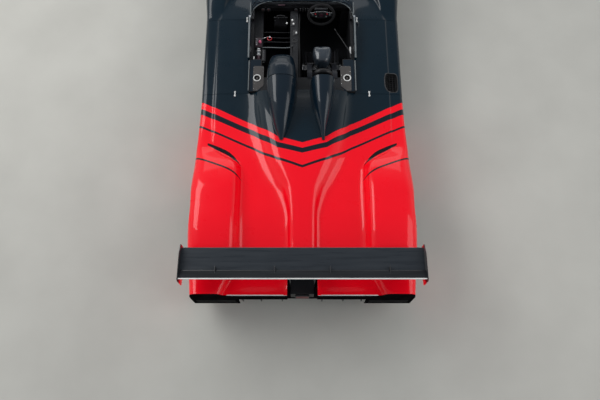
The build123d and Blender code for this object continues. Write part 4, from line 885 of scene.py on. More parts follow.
# %% Finishes of the CAD pieces that stay
CAD_FINISHES = {
    "carbon_satin": "monocoque footbox flat_floor front_splitter rear_diffuser rear_crash_box",
    "tail_matt": "dashboard",
    "carbon_gloss": "wing_struts",
    "pressed_wood": "skid_plank",
    "hoop_black": "roll_hoops",
    "arm_black": "front_wishbones rear_wishbones",
    "milled_alloy": "rear_uprights front_left_upright front_right_upright",
    "cast_alloy": "engine_block",
    "gearbox_cast": "gearbox",
    "fin_alloy": "radiators pedals",
    "turned_steel": "steering_column left_drive_shaft right_drive_shaft",
    "pin_steel": "door_hinges",
    "disc_iron": "front_left_brake_disc front_right_brake_disc rear_left_brake_disc rear_right_brake_disc",
    "body_paint": "left_door right_door",
}
for finish, names in CAD_FINISHES.items():
    for name in names.split():
        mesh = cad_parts[name].data
        mesh.materials.clear()
        mesh.materials.append(bpy.data.materials[finish])
print("materials", len(bpy.data.materials))

# %% [markdown]
# ## Rear wing
#
# The wing is two upside-down foils on one pair of struts: a broad main plane and a small flap
# set steeply behind it, with end plates outside. A foil is one outline drawn straight across
# the car, so a dense rounded outline and a prism are all it needs. Bevelled plates and a pale
# strip along the trailing edge finish it.

# %% Wing pieces
WING_Y, WING_Z, WING_HALF, WING_CHORD, FLAP_CHORD, FLAP_ANGLE = TAIL - 334, 900, 970, 212, 85, 28
FOIL = [(0, 0), (0.012, 0.12), (0.05, 0.2), (0.2, 0.22), (0.5, 0.14), (0.8, 0.06), (1, 0.04)]
FOIL += [(1, -0.04), (0.8, -0.36), (0.6, -0.74), (0.4, -0.98), (0.25, -1), (0.12, -0.82), (0.03, -0.4)]


def foil(chord, depth, y, z, angle):
    """A wing across the car, its chord raised towards the rear."""
    rise, run = math.sin(math.radians(angle)), math.cos(math.radians(angle))
    points = [(u * chord, v * depth * chord) for u, v in FOIL]
    points = rounded(points, [0.5] * 6 + [0.05] * 2 + [0.5] * 6, 4)
    points = [(y + u * run - v * rise, z + u * rise + v * run) for u, v in points]
    return prism(points, "X", -WING_HALF, WING_HALF, [WING_HALF * (k / 12 - 1) for k in range(1, 24)])


lugs = both_sides(slab((108, WING_Y + 50, WING_Z - 45), (118, WING_Y + 175, WING_Z + 3)))
main_plane = joined(foil(WING_CHORD, 0.1, WING_Y, WING_Z, 7), lugs)
piece("wing_main_skin", "wing_finish", main_plane, sharp=50, replaces="wing_main_plane")
flap_y, flap_z = WING_Y + WING_CHORD - 12, WING_Z + 44
flap = foil(FLAP_CHORD, 0.09, flap_y, flap_z, FLAP_ANGLE)
piece("wing_flap_skin", "flap_black", flap, sharp=50, replaces="wing_flap")
edge_y = flap_y + FLAP_CHORD * math.cos(math.radians(FLAP_ANGLE))
edge_z = flap_z + FLAP_CHORD * math.sin(math.radians(FLAP_ANGLE))
gurney = slab((1 - WING_HALF, edge_y - 5, edge_z - 8), (WING_HALF - 1, edge_y + 4, edge_z + 5), 1.2)
piece("wing_trailing_strip", "pale_trim", gurney)
slot_line = slab((1 - WING_HALF, flap_y - 2, flap_z + 1.2), (WING_HALF - 1, flap_y + 5, flap_z + 4.0), 0.8)
piece("wing_slot_edge", "black_plastic", slot_line)
bracket = slab((-3, WING_Y + 165, WING_Z + 8), (3, WING_Y + 250, WING_Z + 60), 1.5)
brackets = copies(bracket, [(x, 0, 0) for x in (-690, -220, 220, 690)])
piece("wing_slot_brackets", "black_plastic", brackets)

end_paint = Finish("end_plate_finish", "carbon", specular_ior_level=0.3, coat_weight=0.7, coat_roughness=0.06)
x, y, z = end_paint.axes()
low_rear = y - (WING_Y + 205) * MM - (z - (WING_Z - 62) * MM)
end_paint.shader("Base Color", end_paint.mix((low_rear * 500.0).clamped(), (0.010, 0.011, 0.013), RED))
end_paint.rough(end_paint.noise(20, 4), 0.25, 0.38)
PLATE = [(-18, -70), (230, -110), (296, -80), (296, 95), (60, 82), (-18, 40)]
outline = rounded([(WING_Y + u, WING_Z + v) for u, v in PLATE], 0.12, 5)
inset = [(WING_Y + 140 + (u - WING_Y - 140) * 0.985, WING_Z + (v - WING_Z) * 0.975) for u, v in outline]
levels = ((0, inset), (1.5, outline), (6.5, outline), (8, inset))
rows = [[(WING_HALF + out, u, v) for u, v in line] for out, line in levels]
pair("wing_end_plate_skins", "end_plate_finish", lattice(rows), replaces="wing_end_plates")
bolt = turned([(0, 0), (0, 7), (1.6, 6), (2.2, 3.0), (1.2, 2.6), (1.2, 0)], axis="X", steps=16)
places = ((30, -10), (110, 12), (190, 28), (245, 62), (60, -30), (150, -12))
bolts = copies(bolt, [(WING_HALF + 8, WING_Y + u, WING_Z + v) for u, v in places])
pair("end_plate_bolts", "pin_steel", bolts)
print("wing top", round(edge_z, 1))

# %% [markdown]
# ## Tail
#
# The body ends in a flat black panel, cut away in the middle for the wing's struts, with a
# pale lip along its top edge that tips the air upwards. The panel is the tail skin's own last
# section, filled in, so both always meet.

# %% Tail panel and lip
INNER_X, lip_z = 549, deck_height(SHELL_END)
last = half_section(spine_section, SHELL_END)
ring = [(x, z - 1.0) for x, z in last if x >= INNER_X + 4]
ring = [(INNER_X, lip_z - 2), *ring, (INNER_X, ring[-1][1])]
strip = slab((NOTCH_HALF, SHELL_END, 425), (INNER_X + 1, TAIL - 1, lip_z - 2))
panel = prism(ring, "Y", SHELL_END, TAIL - 1)
piece("tail_panel_skins", "tail_matt", both_sides(panel), both_sides(strip), replaces="tail_panels")
ribs = [slab((INNER_X + 30, TAIL - 5, z), (920, TAIL, z + 8)) for z in (300, 340, 380)]
pair("tail_panel_ribs", "matte_black", *ribs)
lip = slab((NOTCH_HALF + 2, SHELL_END - 5, lip_z - 3), (INNER_X + 95, SHELL_END + 3, lip_z + 6), 1.5)
pair("tail_lip", "pale_trim", lip)

# %% [markdown]
# ## Repeated parts from Geometry Nodes
#
# Spokes, screws, stitches and light dots are one part many times over. Three small trees
# place them: round an axle, along a line, and in a grid. Their sizes are named inputs, so one
# tree serves every wheel and every row. Copying objects by hand would give hundreds of pieces.

# %% Node trees for rings, rows and grids
COMMON = {"Part": "Object", "Place": "Vector", "Turn": "Rotation", "Finish": "Material"}


def copier(name, spread_out, **own_inputs):
    """A tree that puts the part on points, then turns and moves the lot to its place."""
    tree = bpy.data.node_groups.new(name, "GeometryNodeTree")
    for label, kind in {"Geometry": "Geometry", **COMMON, **own_inputs}.items():
        tree.interface.new_socket(label, in_out="INPUT", socket_type="NodeSocket" + kind)
    tree.interface.new_socket("Geometry", in_out="OUTPUT", socket_type="NodeSocketGeometry")
    recipe = Recipe(tree)
    given = recipe.node("NodeGroupInput").outputs
    points, rotation = spread_out(recipe, given)
    part = recipe.node("GeometryNodeObjectInfo", {"Object": given["Part"]}).outputs["Geometry"]
    inputs = {"Points": points, "Instance": part, "Rotation": rotation}
    lot = recipe.node("GeometryNodeInstanceOnPoints", inputs).outputs[0]
    inputs = {"Geometry": lot, "Translation": given["Place"], "Rotation": given["Turn"]}
    lot = recipe.node("GeometryNodeTransform", inputs).outputs[0]
    lot = recipe.node("GeometryNodeRealizeInstances", {0: lot}).outputs[0]
    lot = recipe.node("GeometryNodeSetMaterial", {"Geometry": lot, "Material": given["Finish"]}).outputs[0]
    recipe.node("NodeGroupOutput", {"Geometry": lot})
    return tree


def around_axle(recipe, given):
    dots = recipe.node("GeometryNodePoints", {"Count": given["Count"]})
    index = Term(recipe, recipe.node("GeometryNodeInputIndex").outputs[0])
    angle = index / given["Count"] * ROUND + given["Start Angle"]
    return dots.outputs[0], recipe.node("ShaderNodeCombineXYZ", {0: angle}).outputs[0]


def along_line(recipe, given):
    line = recipe.node("GeometryNodeObjectInfo", {"Object": given["Line"]}).outputs["Geometry"]
    inputs = {"Curve": line, "Length": given["Spacing"]}
    stops = recipe.node("GeometryNodeCurveToPoints", inputs, mode="LENGTH").outputs
    return stops["Points"], stops["Rotation"]


def over_grid(recipe, given):
    inputs = {"Vertices X": "Columns", "Vertices Y": "Rows", "Size X": "Width", "Size Y": "Height"}
    inputs = {label: given[source] for label, source in inputs.items()}
    return recipe.node("GeometryNodeMeshGrid", inputs).outputs["Mesh"], (0, 0, 0)


ring_tree = copier("ring_of_parts", around_axle, **{"Count": "Int", "Start Angle": "Float"})
row_tree = copier("row_along_line", along_line, Line="Object", Spacing="Float")
grid_tree = copier("grid_of_parts", over_grid, Columns="Int", Rows="Int", Width="Float", Height="Float")


def grown(name, tree, part, finish, body="chassis", place_at=(0, 0, 0), turned_by=(0, 0, 0), **values):
    """Runs a tree once and keeps its result as a plain mesh."""
    seed = make_mesh("part", part)
    host = make_object(name, bpy.data.meshes.new(name))
    values.update({"Part": seed, "Finish": bpy.data.materials[finish]})
    values.update({"Place": [v * MM for v in place_at], "Turn": [math.radians(v) for v in turned_by]})
    modifier = host.modifiers.new("copies", "NODES")
    modifier.node_group = tree
    for item in tree.interface.items_tree:
        if item.item_type == "SOCKET" and item.in_out == "INPUT" and item.name in values:
            modifier[item.identifier] = values[item.name]
    applied(host)
    bpy.data.objects.remove(seed)
    return settle(host, finish, body)


def row_of(name, part, points, spacing, finish, body="chassis"):
    """Copies of a part along a line of points in millimetres."""
    data = bpy.data.curves.new("line", "CURVE")
    data.dimensions = "3D"
    spline = data.splines.new("POLY")
    spline.points.add(len(points) - 1)
    for stop, p in zip(spline.points, points):
        stop.co = (p[0] * MM, p[1] * MM, p[2] * MM, 1)
    guide = make_object("line", data)
    grown(name, row_tree, part, finish, body, Line=guide, Spacing=spacing * MM)
    bpy.data.objects.remove(guide)


led = turned([(0, 3.6), (1.5, 3.6), (3.2, 2.4), (3.8, 0)], steps=10)
grown("rain_light_dots", grid_tree, led, "lamp_red_lens", Columns=11, Rows=7, Width=0.100, Height=0.066,
      place_at=(0, TAIL - 24, 400), turned_by=(-90, 0, 0))
housing = slab((-60, TAIL - 40, 355), (60, TAIL - 24, 445), 6, 3)
piece("rain_light_housing", "black_plastic", housing, replaces="rain_light")
print("trees", [t.name for t in bpy.data.node_groups])

# %% [markdown]
# ## Around the cockpit
#
# Brown-grey panels with filler rings lie on the shoulders beside the seats. Latches hold the
# body at its seams, a grey strip on the doors' tops paints the highlight of their rounded
# edges, and the right pod has an air inlet with a wire grille. These small things catch the
# eye first, so each is a real shape and not a painted mark, though the door strips' grey is a painted
# highlight.

# %% Shoulder panels, filler rings and trims
outline = rounded([(362, 138), (462, 138), (462, 404), (420, 404), (362, 350)], 0.1, 4)
pair("shoulder_panels", "shoulder_panel", prism(outline, "Z", RIM_Z + 1, RIM_Z + 4))
base = rounded([(392, 68), (492, 68), (492, 406), (392, 406)], 0.05, 3)
pair("shoulder_bases", "dark_paint", prism(base, "Z", RIM_Z, RIM_Z + 2))
FILLER = (424, 268, RIM_Z)
ring = turned([(3, 37), (9, 37), (11, 35), (11, 29), (9, 27), (3, 27)], FILLER, steps=56, loop=True)
pair("filler_rings", "pale_trim", ring)
cap = turned([(-8, 33), (2, 33), (4, 30), (4, 12), (1, 9), (1, 0)], FILLER)
pair("filler_caps", "matte_black", cap)
screw = turned([(0, 4.2), (1.2, 4.2), (1.9, 3.2), (1.9, 1.4), (1.0, 1.2), (1.0, 0)], steps=12)
border = ((369, 146), (455, 146), (455, 396), (424, 396), (369, 345), (369, 150))
SIDES = (("left", 1), ("right", -1))
for name, sign in SIDES:
    row_of(f"{name}_shoulder_screws", screw, [(sign * x, y, RIM_Z + 2.6) for x, y in border], 44, "pin_steel")

# each seam has latches, two round pins joined by a bar, and a dark strip under its gap
pin = turned([(0, 9), (5, 9), (7, 7), (7, 3), (4, 2), (4, 0)], steps=20)
latch = joined(copies(pin, [(0, -20, 0), (0, 20, 0)]), slab((-5, -20, 0), (5, 20, 4), 1.5))
latches = copies(latch, [(541, FORE_SEAM - 1, DECK_Z - 1), (632, AFT_SEAM + 1, DECK_Z - 1)])
pair("seam_latches", "pale_trim", latches)
for number, y in enumerate((FORE_SEAM, AFT_SEAM)):
    line = half_section(pod_section, y)
    tape = lattice([[(x, y + w, z - PANEL - 1) for x, z in line] for w in (-14, 14)], ring=False)
    settle(walled(f"seam_backing_{number}", both_sides(tape), 2), "matte_black")
# a grey strip along each door's top edge: its pale grey is the painted highlight of the rounded edge
door_top_highlight = [(509, -378, 706), (509, -330, 706), (509, -100, 696), (509, 40, 681), (509, 56, 676)]
pull = [(497, -60, 690), (489, -45, 686), (489, -15, 680), (497, 0, 676)]
for name, sign in SIDES:
    trim, handle = [[(sign * x, y, z) for x, y, z in line] for line in (door_top_highlight, pull)]
    door = f"{name}_door"
    piece(f"{door}_trim", "grey_trim", swept(smooth_path(trim, 6), rectangle(16, 7, 3)), body=door)
    piece(f"{door}_pull", "black_plastic", rod(handle, 4, (0, 0, 1), steps=6), body=door)
front_rim = [(505, -575, 672), (505, -500, 673), (505, -440, 672)]
rear_rim = [(503, 78, 655), (503, 200, 656), (503, 404, 656)]
beads = [rod(line, 5, (1, 0, 0), steps=5) for line in (front_rim, rear_rim)]
pair("cockpit_rim_bead", "grey_trim", *beads)
# the cowl's two front corners fill a square corner outside a quarter of an ellipse
BEND_X, BEND_Y, BEND_WIDE, BEND_DEEP = 300, -430, 199, 172
quarter = np.linspace(0, math.pi / 2, 19)
corner = [(BEND_X + BEND_WIDE * math.cos(a), BEND_Y - BEND_DEEP * math.sin(a)) for a in quarter]
cowl = prism(corner + [(BEND_X + BEND_WIDE, BEND_Y - BEND_DEEP)], "Z", RIM_Z + 1, RIM_Z + 7)
pair("cowl_corners", "dark_paint", cowl)
edge = swept([(x, y, RIM_Z + 6) for x, y in corner], circle(4, 10), (0, 0, 1))
pair("cowl_corner_edges", "grey_trim", edge)

# %% Air inlet in the right pod: a raised frame, a dark duct and a wire grille
INLET_X, INLET_Y = -850, 286


def pod_top(x, y, lift=0.0):
    """A point on the pod skin, or above it, found along its section."""
    line = half_section(pod_section, y)
    for (x0, z0), (x1, z1) in zip(line, line[1:]):
        if x0 <= abs(x) <= x1 and x1 > x0:
            return x, y, z0 + (z1 - z0) * (abs(x) - x0) / (x1 - x0) + lift


wide = [(INLET_X + (x - INLET_X) * 1.14, INLET_Y + (y - INLET_Y) * 1.07) for x, y in SCOOP]
levels = ((wide, -3), (wide, 1.5), (SCOOP, 4), (SCOOP, -12), (wide, -3))
rows = [[pod_top(x, y, lift) for x, y in line] for line, lift in levels]
piece("inlet_frame", "black_plastic", lattice(rows, capped=False))
duct = []
for k, drop in ((1.02, 9), (0.96, 60), (0.8, 110), (0.3, 120)):
    x0, y0 = INLET_X * (1 - k), INLET_Y * (1 - k)
    row = [(x * k + x0, y * k + y0, pod_top(x, y)[2] - drop) for x, y in SCOOP]
    duct.append(row + row[:1])
duct.append([(INLET_X, INLET_Y, 480)] * len(duct[0]))
settle(walled("inlet_duct", lattice(duct, ring=False), 2), "matte_black")
across = [[pod_top(x, 200 + k * 22, -20) for x in (-902, INLET_X, -795)] for k in range(9)]
along = [[pod_top(-890 + k * 27, y, -22) for y in (192, 288, 380)] for k in range(4)]
wires = [swept(line, circle(1.5, 6), (0, 1, 0)) for line in across]
wires += [swept(line, circle(1.5, 6), (1, 0, 0)) for line in along]
piece("inlet_grille", "arm_black", *wires)
bulge, arc = [], [(math.cos(a), max(0, math.sin(a))) for a in np.linspace(0, math.pi, 9)]
for k in range(9):
    wave, y = math.sin(math.pi * k / 8), -398 + 58 * k / 8
    wide, high = 12 * wave**0.7 + 0.3, 9 * wave**0.8
    bulge.append([(-552 + wide * u, y, DECK_Z - 1 + high * v) for u, v in arc])
piece("pod_bulge", "dark_paint", lattice(bulge))

# %% [markdown]
# ## Inside the tub
#
# The left side of the cockpit holds switches, a pull ring and three bottles on the side box,
# a beam with knobs and a lever runs down the middle, and a dark box stands on the floor. A
# hose hangs on the driver's side. Each item is a few turned, swept or bevelled shapes joined
# to one mesh, because at this size the outline is what shows.

# %% Side box and centre beam fittings
BOX_Z, BEAM_Z = 540, 600
unit = slab((390, -245, BOX_Z), (462, -130, BOX_Z + 24), 5, 3)
shelf = slab((400, -100, BOX_Z), (450, 56, BOX_Z + 6))
piece("side_box_units", "black_plastic", unit, shelf)
piece("side_box_lid", "dark_magenta", slab((396, -240, BOX_Z + 24), (456, -136, BOX_Z + 29)))
button = [(0, 15), (8, 15), (9, 13), (9, 12), (16, 12), (19, 9), (20, 0)]
piece("side_box_button", "pink_plastic", turned(button, (412, -188, BOX_Z + 29), steps=36))
nut, switches = turned([(0, 4), (2, 4), (2, 2), (3, 1.4)], steps=12), []
for k, x in enumerate((440, 449)):
    for y in (-222, -200, -178, -156):
        tip = (x + 1, y + 2 - 4 * ((k + y) % 2), BOX_Z + 41)
        switches += [moved(nut, (x, y, BOX_Z + 29)), swept([(x, y, BOX_Z + 30), tip], circle(1.6, 8))]
piece("toggle_switches", "pin_steel", *switches)
ring = [(318 + x, -208 + y, 598 + y * 5 / 21) for x, y in circle(21, 32)]
piece("pull_ring", "red_plastic", swept(ring, circle(3.2, 10), (0, 0, 1), closed=True))
stalk = rod([(318, -229, 593), (330, -240, 580), (365, -244, 560), (392, -240, 555)], 3.2, (0, 0, 1))
foot = turned([(0, 0), (0, 9), (10, 9), (12, 7), (12, 0)], (318, -231, 586), steps=20)
piece("pull_ring_stalk", "pin_steel", stalk, foot)
BOTTLE = (424, -112, BOX_Z + 27)
small = [(0, 0), (0, 10), (3, 17), (12, 20), (78, 20), (86, 17), (92, 9), (100, 9), (101, 0)]
large = [(0, 0), (0, 16), (4, 21), (120, 21), (132, 14), (136, 8), (146, 8), (147, 0)]
piece("small_bottle", "fin_alloy", turned(small, BOTTLE, "Y", 40))
piece("second_bottle", "dark_magenta", turned(small, (BOTTLE[0], 52, BOTTLE[2]), "-Y", 40))
piece("dark_bottle", "black_plastic", turned(large, (372, -96, 566), "Y", 40))
band = turned([(0, 19.5), (0, 21.0), (9, 21.0), (9, 19.5)], BOTTLE, "Y", 40, loop=True)
piece("bottle_bands", "white_plastic", copies(band, [(0, 24, 0), (0, 66, 0)]))
piece("bottle_tag", "white_plastic", slab((456, 20, 628), (466, 52, 640), 3))
clips, clip_radius, angles = [], 23, np.linspace(-0.6, math.pi + 0.6, 22)
for y in (-98, 34):
    round_it = [(clip_radius * math.cos(a), clip_radius * math.sin(a)) for a in angles]
    clips.append([(BOTTLE[0] + u, y, BOTTLE[2] + v) for u, v in round_it])
piece("bottle_clips", "pin_steel", *[swept(clip, rectangle(9, 2, 0.8), (0, 1, 0)) for clip in clips])

front_plate = slab((70, -430, BEAM_Z), (110, -350, BEAM_Z + 5))
rear_plate = slab((46, -300, BEAM_Z), (88, -240, BEAM_Z + 5))
piece("beam_plates", "black_plastic", front_plate, rear_plate)
knob = turned([(0, 9), (6, 9), (9, 7), (12, 7), (13, 0)], steps=24)
places = [(150, -398, BEAM_Z - 20), (96, -416, BEAM_Z + 5), (56, -268, BEAM_Z + 5), (84, -372, BEAM_Z + 5)]
piece("beam_knobs", "white_plastic", copies(knob, places))
HOLE = (74, -180, BEAM_Z)
collar = [(0, 24), (4, 24), (6, 22), (6, 16), (4, 15), (0, 15)]
piece("beam_ring", "black_plastic", turned(collar, HOLE, steps=40, loop=True))
# a thin black disc at the foot of the ring is painted shade standing in for the hole
piece("beam_hole", "matte_black", turned([(0.6, 0), (0.6, 15.2), (1.4, 15.2), (1.4, 0)], HOLE, steps=32))
lever = rod([(92, -60, BEAM_Z - 2), (92, -62, BEAM_Z + 30), (94, -70, BEAM_Z + 62)], 4, (1, 0, 0), 12, 6)
grip = turned([(0, 0), (0, 3), (3, 9), (12, 11), (20, 8), (23, 0)], (94, -70, BEAM_Z + 58), steps=24)
piece("beam_lever", "black_plastic", lever, grip)
for number, (y, z, sag) in enumerate(((-108, 596, 2), (-350, 500, 0), (-300, 480, 0), (-250, 480, 0))):
    bar = rod([(116, y, z), (176, y + 3, z - sag), (324, y - 2, z - sag), (384, y, z - 2)], 4, (0, 0, 1), 12)
    piece(f"cross_bar_{number}", "arm_black" if number else "grey_trim", bar)
loom = []
for k in range(4):
    path = [(34 - 4 * k, -520, 560 + 5 * k), (32 - 3 * k, -430, 585), (32 - 2 * k, -300, 592 - 3 * k),
            (32 - 3 * k, -150, 594 - 4 * k), (32 - 4 * k, 20, 580 - 6 * k), (32 - 4 * k, 230, 560 - 8 * k)]
    loom.append(rod(path, 3.5, (1, 0, 0), 8))
piece("wiring_loom", "matte_black", *loom)

# %% Dashboard, floor box and hose
DASH_Y, DIAL_Z = COCKPIT_FRONT + 67, 622
piece("dash_display_body", "black_plastic", slab((-255, DASH_Y - 2, 585), (-125, DASH_Y + 16, 648), 6, 3))
piece("dash_display_glass", "display_glass", slab((-245, DASH_Y + 15, 593), (-135, DASH_Y + 18, 641)))
dials, needles = [], []
for x, r, reach in ((330, 20, 12), (385, 20, 12), (60, 17, 10)):
    bezel = [(0, r), (10, r), (12, r - 2), (12, r - 4), (8, r - 5), (8, 0)]
    dials.append(turned(bezel, (x, DASH_Y - 1, DIAL_Z), "Y", 40))
    needles.append(slab((x - 1.2, DASH_Y + 8, DIAL_Z - 3), (x + 1.2, DASH_Y + 9.5, DIAL_Z + reach), 0.4))
piece("dash_dials", "black_plastic", *dials)
piece("dash_needles", "red_plastic", *needles)
knob = turned([(0, 6), (3, 7), (10, 6), (12, 4), (12, 0)], steps=14)
grown("dash_knobs", grid_tree, knob, "black_plastic", Columns=4, Rows=2, Width=0.075, Height=0.026,
      place_at=(-22, DASH_Y - 1, DIAL_Z), turned_by=(-90, 0, 0))
box, lid = slab((146, -466, 300), (276, -366, 566), 6, 3), slab((150, -462, 566), (272, -372, 574), 3)
piece("floor_box", "tail_matt", box, lid)
piece("floor_box_strap", "black_plastic", slab((143, -478, 568), (279, -466, 580), 3))
handle = [(172, -470, 580), (176, -474, 598), (211, -476, 604), (246, -474, 598), (250, -470, 580)]
piece("floor_box_handle", "black_plastic", rod(handle, 5, (0, 1, 0), 12))
piece("dash_red_strip", "dark_magenta", slab((166, -571, 649), (236, -557, 653), 1))
END = (-334, -335, 556)
hose = [(-462, 40, 646), (-455, -27, 650), (-420, -110, 630), (-382, -205, 600), (-350, -284, 576), END]
aim = Vector((0.43, -0.9, -0.3)).to_track_quat("Z", "Y").to_matrix()
mouthpiece = turned([(0, 0), (0, 5), (3, 6.5), (22, 6.5), (26, 4), (26, 0)], END, aim, 16)
piece("drink_hose", "arm_black", rod(hose, 4, (0, 0, 1)), mouthpiece)
piece("hose_clip", "pale_trim", slab((-470, -78, 641), (-456, -2, 654), 3))
print("cockpit pieces done")

# %% [markdown]
# ## Steering wheel
#
# A race wheel is small and thick-rimmed, wrapped in suede, with a carbon hub plate full of
# buttons. It is built flat around its own centre and then tilted on to the column, so every
# part of it is simple to place. It turns with its own body.

# %% Wheel rim, hub and buttons
WHEEL_CENTRE, WHEEL_TILT, RING = (DRIVER_X, -478, 612), math.radians(10), 126
low, high = math.sin(WHEEL_TILT), math.cos(WHEEL_TILT)
facing = Matrix(((1, 0, 0), (0, -low, high), (0, high, low)))


def wheel_piece(name, finish, *shapes, **more):
    """From flat drawing, facing +Z, to the tilted wheel."""
    tilted = moved(joined(*shapes), WHEEL_CENTRE, facing)
    piece(f"steering_{name}", finish, tilted, body="steering_wheel", **more)


ring_path = [(x, y, 0) for x, y in circle(RING, 72)]
grip = swept(ring_path, circle(12.5, 16), (0, 0, 1), closed=True)
wheel_piece("grip", "wheel_suede", grip, replaces="steering_wheel")
hub = [(-116, -16), (-60, -30), (-34, -42), (34, -42), (60, -30), (116, -16),
       (116, 16), (60, 32), (30, 40), (-30, 40), (-60, 32), (-116, 16)]
boss = turned([(-30, 0), (-30, 26), (-8, 26), (-8, 34), (-4, 36), (-4, 0)], steps=40)
wheel_piece("hub", "carbon_gloss", prism(rounded(hub, 0.3, 4), "Z", -5, 5), boss)
cap = turned([(5, 0), (5, 20), (10, 20), (12, 17), (12, 11), (10, 9), (10, 0)], steps=44)
wheel_piece("centre", "dark_magenta", cap)
button = turned([(4, 0), (4, 7), (8, 7), (9, 6), (9, 4), (12, 4), (13, 2), (13, 0)], steps=22)
places = [(-84, 4, 0), (-50, -18, 0), (84, 4, 0), (50, -18, 0)]
wheel_piece("grey_buttons", "grey_trim", copies(button, places))
wheel_piece("red_buttons", "red_plastic", copies(button, [(-58, 14, 0), (58, 14, 0)]))
paddle = slab((-28, -12, -18), (28, 14, -14), 1.8)
wheel_piece("paddles", "milled_alloy", copies(paddle, [(-80, 0, 0), (80, 0, 0)]))
seam = [(x, y, 3.0) for x, y in circle(RING - 12.2, 60)]
seam = moved((seam + seam[:1], []), WHEEL_CENTRE, facing)[0]
stitch = slab((-1.4, -0.5, -0.5), (1.4, 0.5, 0.5), 0.4, 1)
row_of("steering_stitches", stitch, seam, 6.0, "grey_trim", "steering_wheel")

# %% [markdown]
# ## Seat, headrest and harness
#
# The seat is a thin composite shell with stuffed pads laid in it, and a leather-covered pad
# stands behind the driver's helmet. The pads are inflated with Blender's cloth, because a
# pillow's crown and the pull between its corners are hard to draw and easy to blow up. The
# harness is flat webbing, too thin for that, so it is swept along its own path.

# %% Seat shell
CENTRE_PROFILE = [(-328, 97), (-328, 192), (-212, 186), (-26, 138),
                  (82, 590), (146, 596), (146, 500), (58, 97)]
SIDE_PROFILE = [(-328, 97), (-328, 262), (-190, 282), (-60, 322), (40, 556),
                (90, 598), (148, 598), (148, 500), (60, 97)]
walls = []
for x0, x1, profile in ((-166, 166, CENTRE_PROFILE), (-189, -166, SIDE_PROFILE), (166, 189, SIDE_PROFILE)):
    walls.append(prism(rounded(profile, 0.12, 3), "X", DRIVER_X + x0, DRIVER_X + x1))
shell = make_mesh("seat_shell", joined(*walls))
modified(shell, "BEVEL", width=0.004, segments=2, limit_method="ANGLE", angle_limit=math.radians(50))
settle(shell, "carbon_gloss", replaces="driver_seat")


# %% Stuffed pads
SIMULATED_FRAMES, PRESSURE, CLOTH_QUALITY = 20, 4, 4


def stuffed(name, shape, finish, cap, fill, channels=(), voxel=0.006, even=3, **more):
    """Blows a closed form up with cloth pressure, then sews channels into it."""
    thing = modified(make_mesh(name, shape), "REMESH", mode="VOXEL", voxel_size=voxel)
    start = np.array([v.co for v in thing.data.vertices])
    settings = thing.modifiers.new("cloth", "CLOTH").settings
    settings.use_pressure = True
    settings.uniform_pressure_force = PRESSURE
    settings.quality = CLOTH_QUALITY
    settings.effector_weights.gravity = 0
    for frame_number in range(1, SIMULATED_FRAMES + 1):
        bpy.context.scene.frame_set(frame_number)
    applied(thing)
    bpy.context.scene.frame_set(1)
    shift = np.array([v.co for v in thing.data.vertices]) - start
    length = np.linalg.norm(shift, axis=1, keepdims=True)
    start = start + shift * np.minimum(1.0, cap / np.maximum(length, 1e-9))
    for centre, direction, width, depth, inward in channels:
        distance = (start - np.array(centre) * MM) @ np.array(direction)
        groove = np.exp(-((distance / (width * MM)) ** 2)) * depth * MM
        start = start + groove[:, None] * np.array(inward)
    thing.data.vertices.foreach_set("co", start.astype(np.float32).ravel())
    modified(thing, "SMOOTH", factor=0.5, iterations=even)
    modified(thing, "SUBSURF", levels=1, render_levels=1)
    settle(thing, finish, sharp=80, **more)
    print(name, len(thing.data.polygons), "faces")


PAD_WIDTH, PAD_THICK, PAD_LIFT = 292, 20, 11


def cushion(name, line, channels):
    """A pad that follows a line in the (y, z) plane and lies on its upper side."""
    path = smooth_path([(DRIVER_X, y, z) for y, z in line], 6)
    section = [(u, v + PAD_LIFT) for u, v in rectangle(PAD_WIDTH, PAD_THICK, 9)]
    stuffed(name, swept(path, section), "seat_cloth", 0.007, 0.6, channels)


channels = [((DRIVER_X, y, 170), (0, 1, 0), 5, 5, (0, 0, -1)) for y in (-255, -190, -125)]
cushion("seat_cushion", [(-318, 197), (-220, 192), (-120, 166), (-44, 146)], channels)
channels = [((DRIVER_X, 20, z), (0, 0.23, 0.97), 5, 5, (0, 0.97, -0.23)) for z in (265, 335, 405, 475)]
cushion("seat_back_cushion", [(-18, 196), (14, 330), (46, 462), (72, 572)], channels)
for number, x in enumerate((DRIVER_X - 152, DRIVER_X + 152)):
    path = smooth_path([(x, -300, 232), (x, -200, 246), (x, -90, 268), (x, 0, 440)], 6)
    stuffed(f"seat_bolster_{number}", swept(path, rectangle(16, 46, 7)), "seat_cloth", 0.006, 0.7)

head_rows = []
corners = [(-84, -40), (84, -40), (90, 10), (60, 142), (-60, 142), (-90, 10)]
for z, grow in ((604, 0.90), (614, 0.97), (680, 1.0), (716, 0.94), (734, 0.84), (742, 0.70)):
    ring = rounded([(DRIVER_X + x * grow, 50 + (y - 50) * grow) for x, y in corners], 0.3, 4)
    head_rows.append([(x, y, z) for x, y in ring])
channels = [((DRIVER_X + x, 60, 700), (1, 0, 0), 3.5, 4.0, (0, 0, -1)) for x in (-46, 46)]
stuffed("headrest_pad", lattice(head_rows), "grained_leather", 0.007, 0.8, channels, 0.005, 14,
        replaces="headrest")


# %% Harness
def strap(points, width=48, thick=2.4, across=(1, 0, 0)):
    """Webbing along points given from the seat's middle."""
    path = smooth_path([(DRIVER_X + x, y, z) for x, y, z in points], 10)
    return swept(path, rectangle(width, thick, 1.0, 2), across)


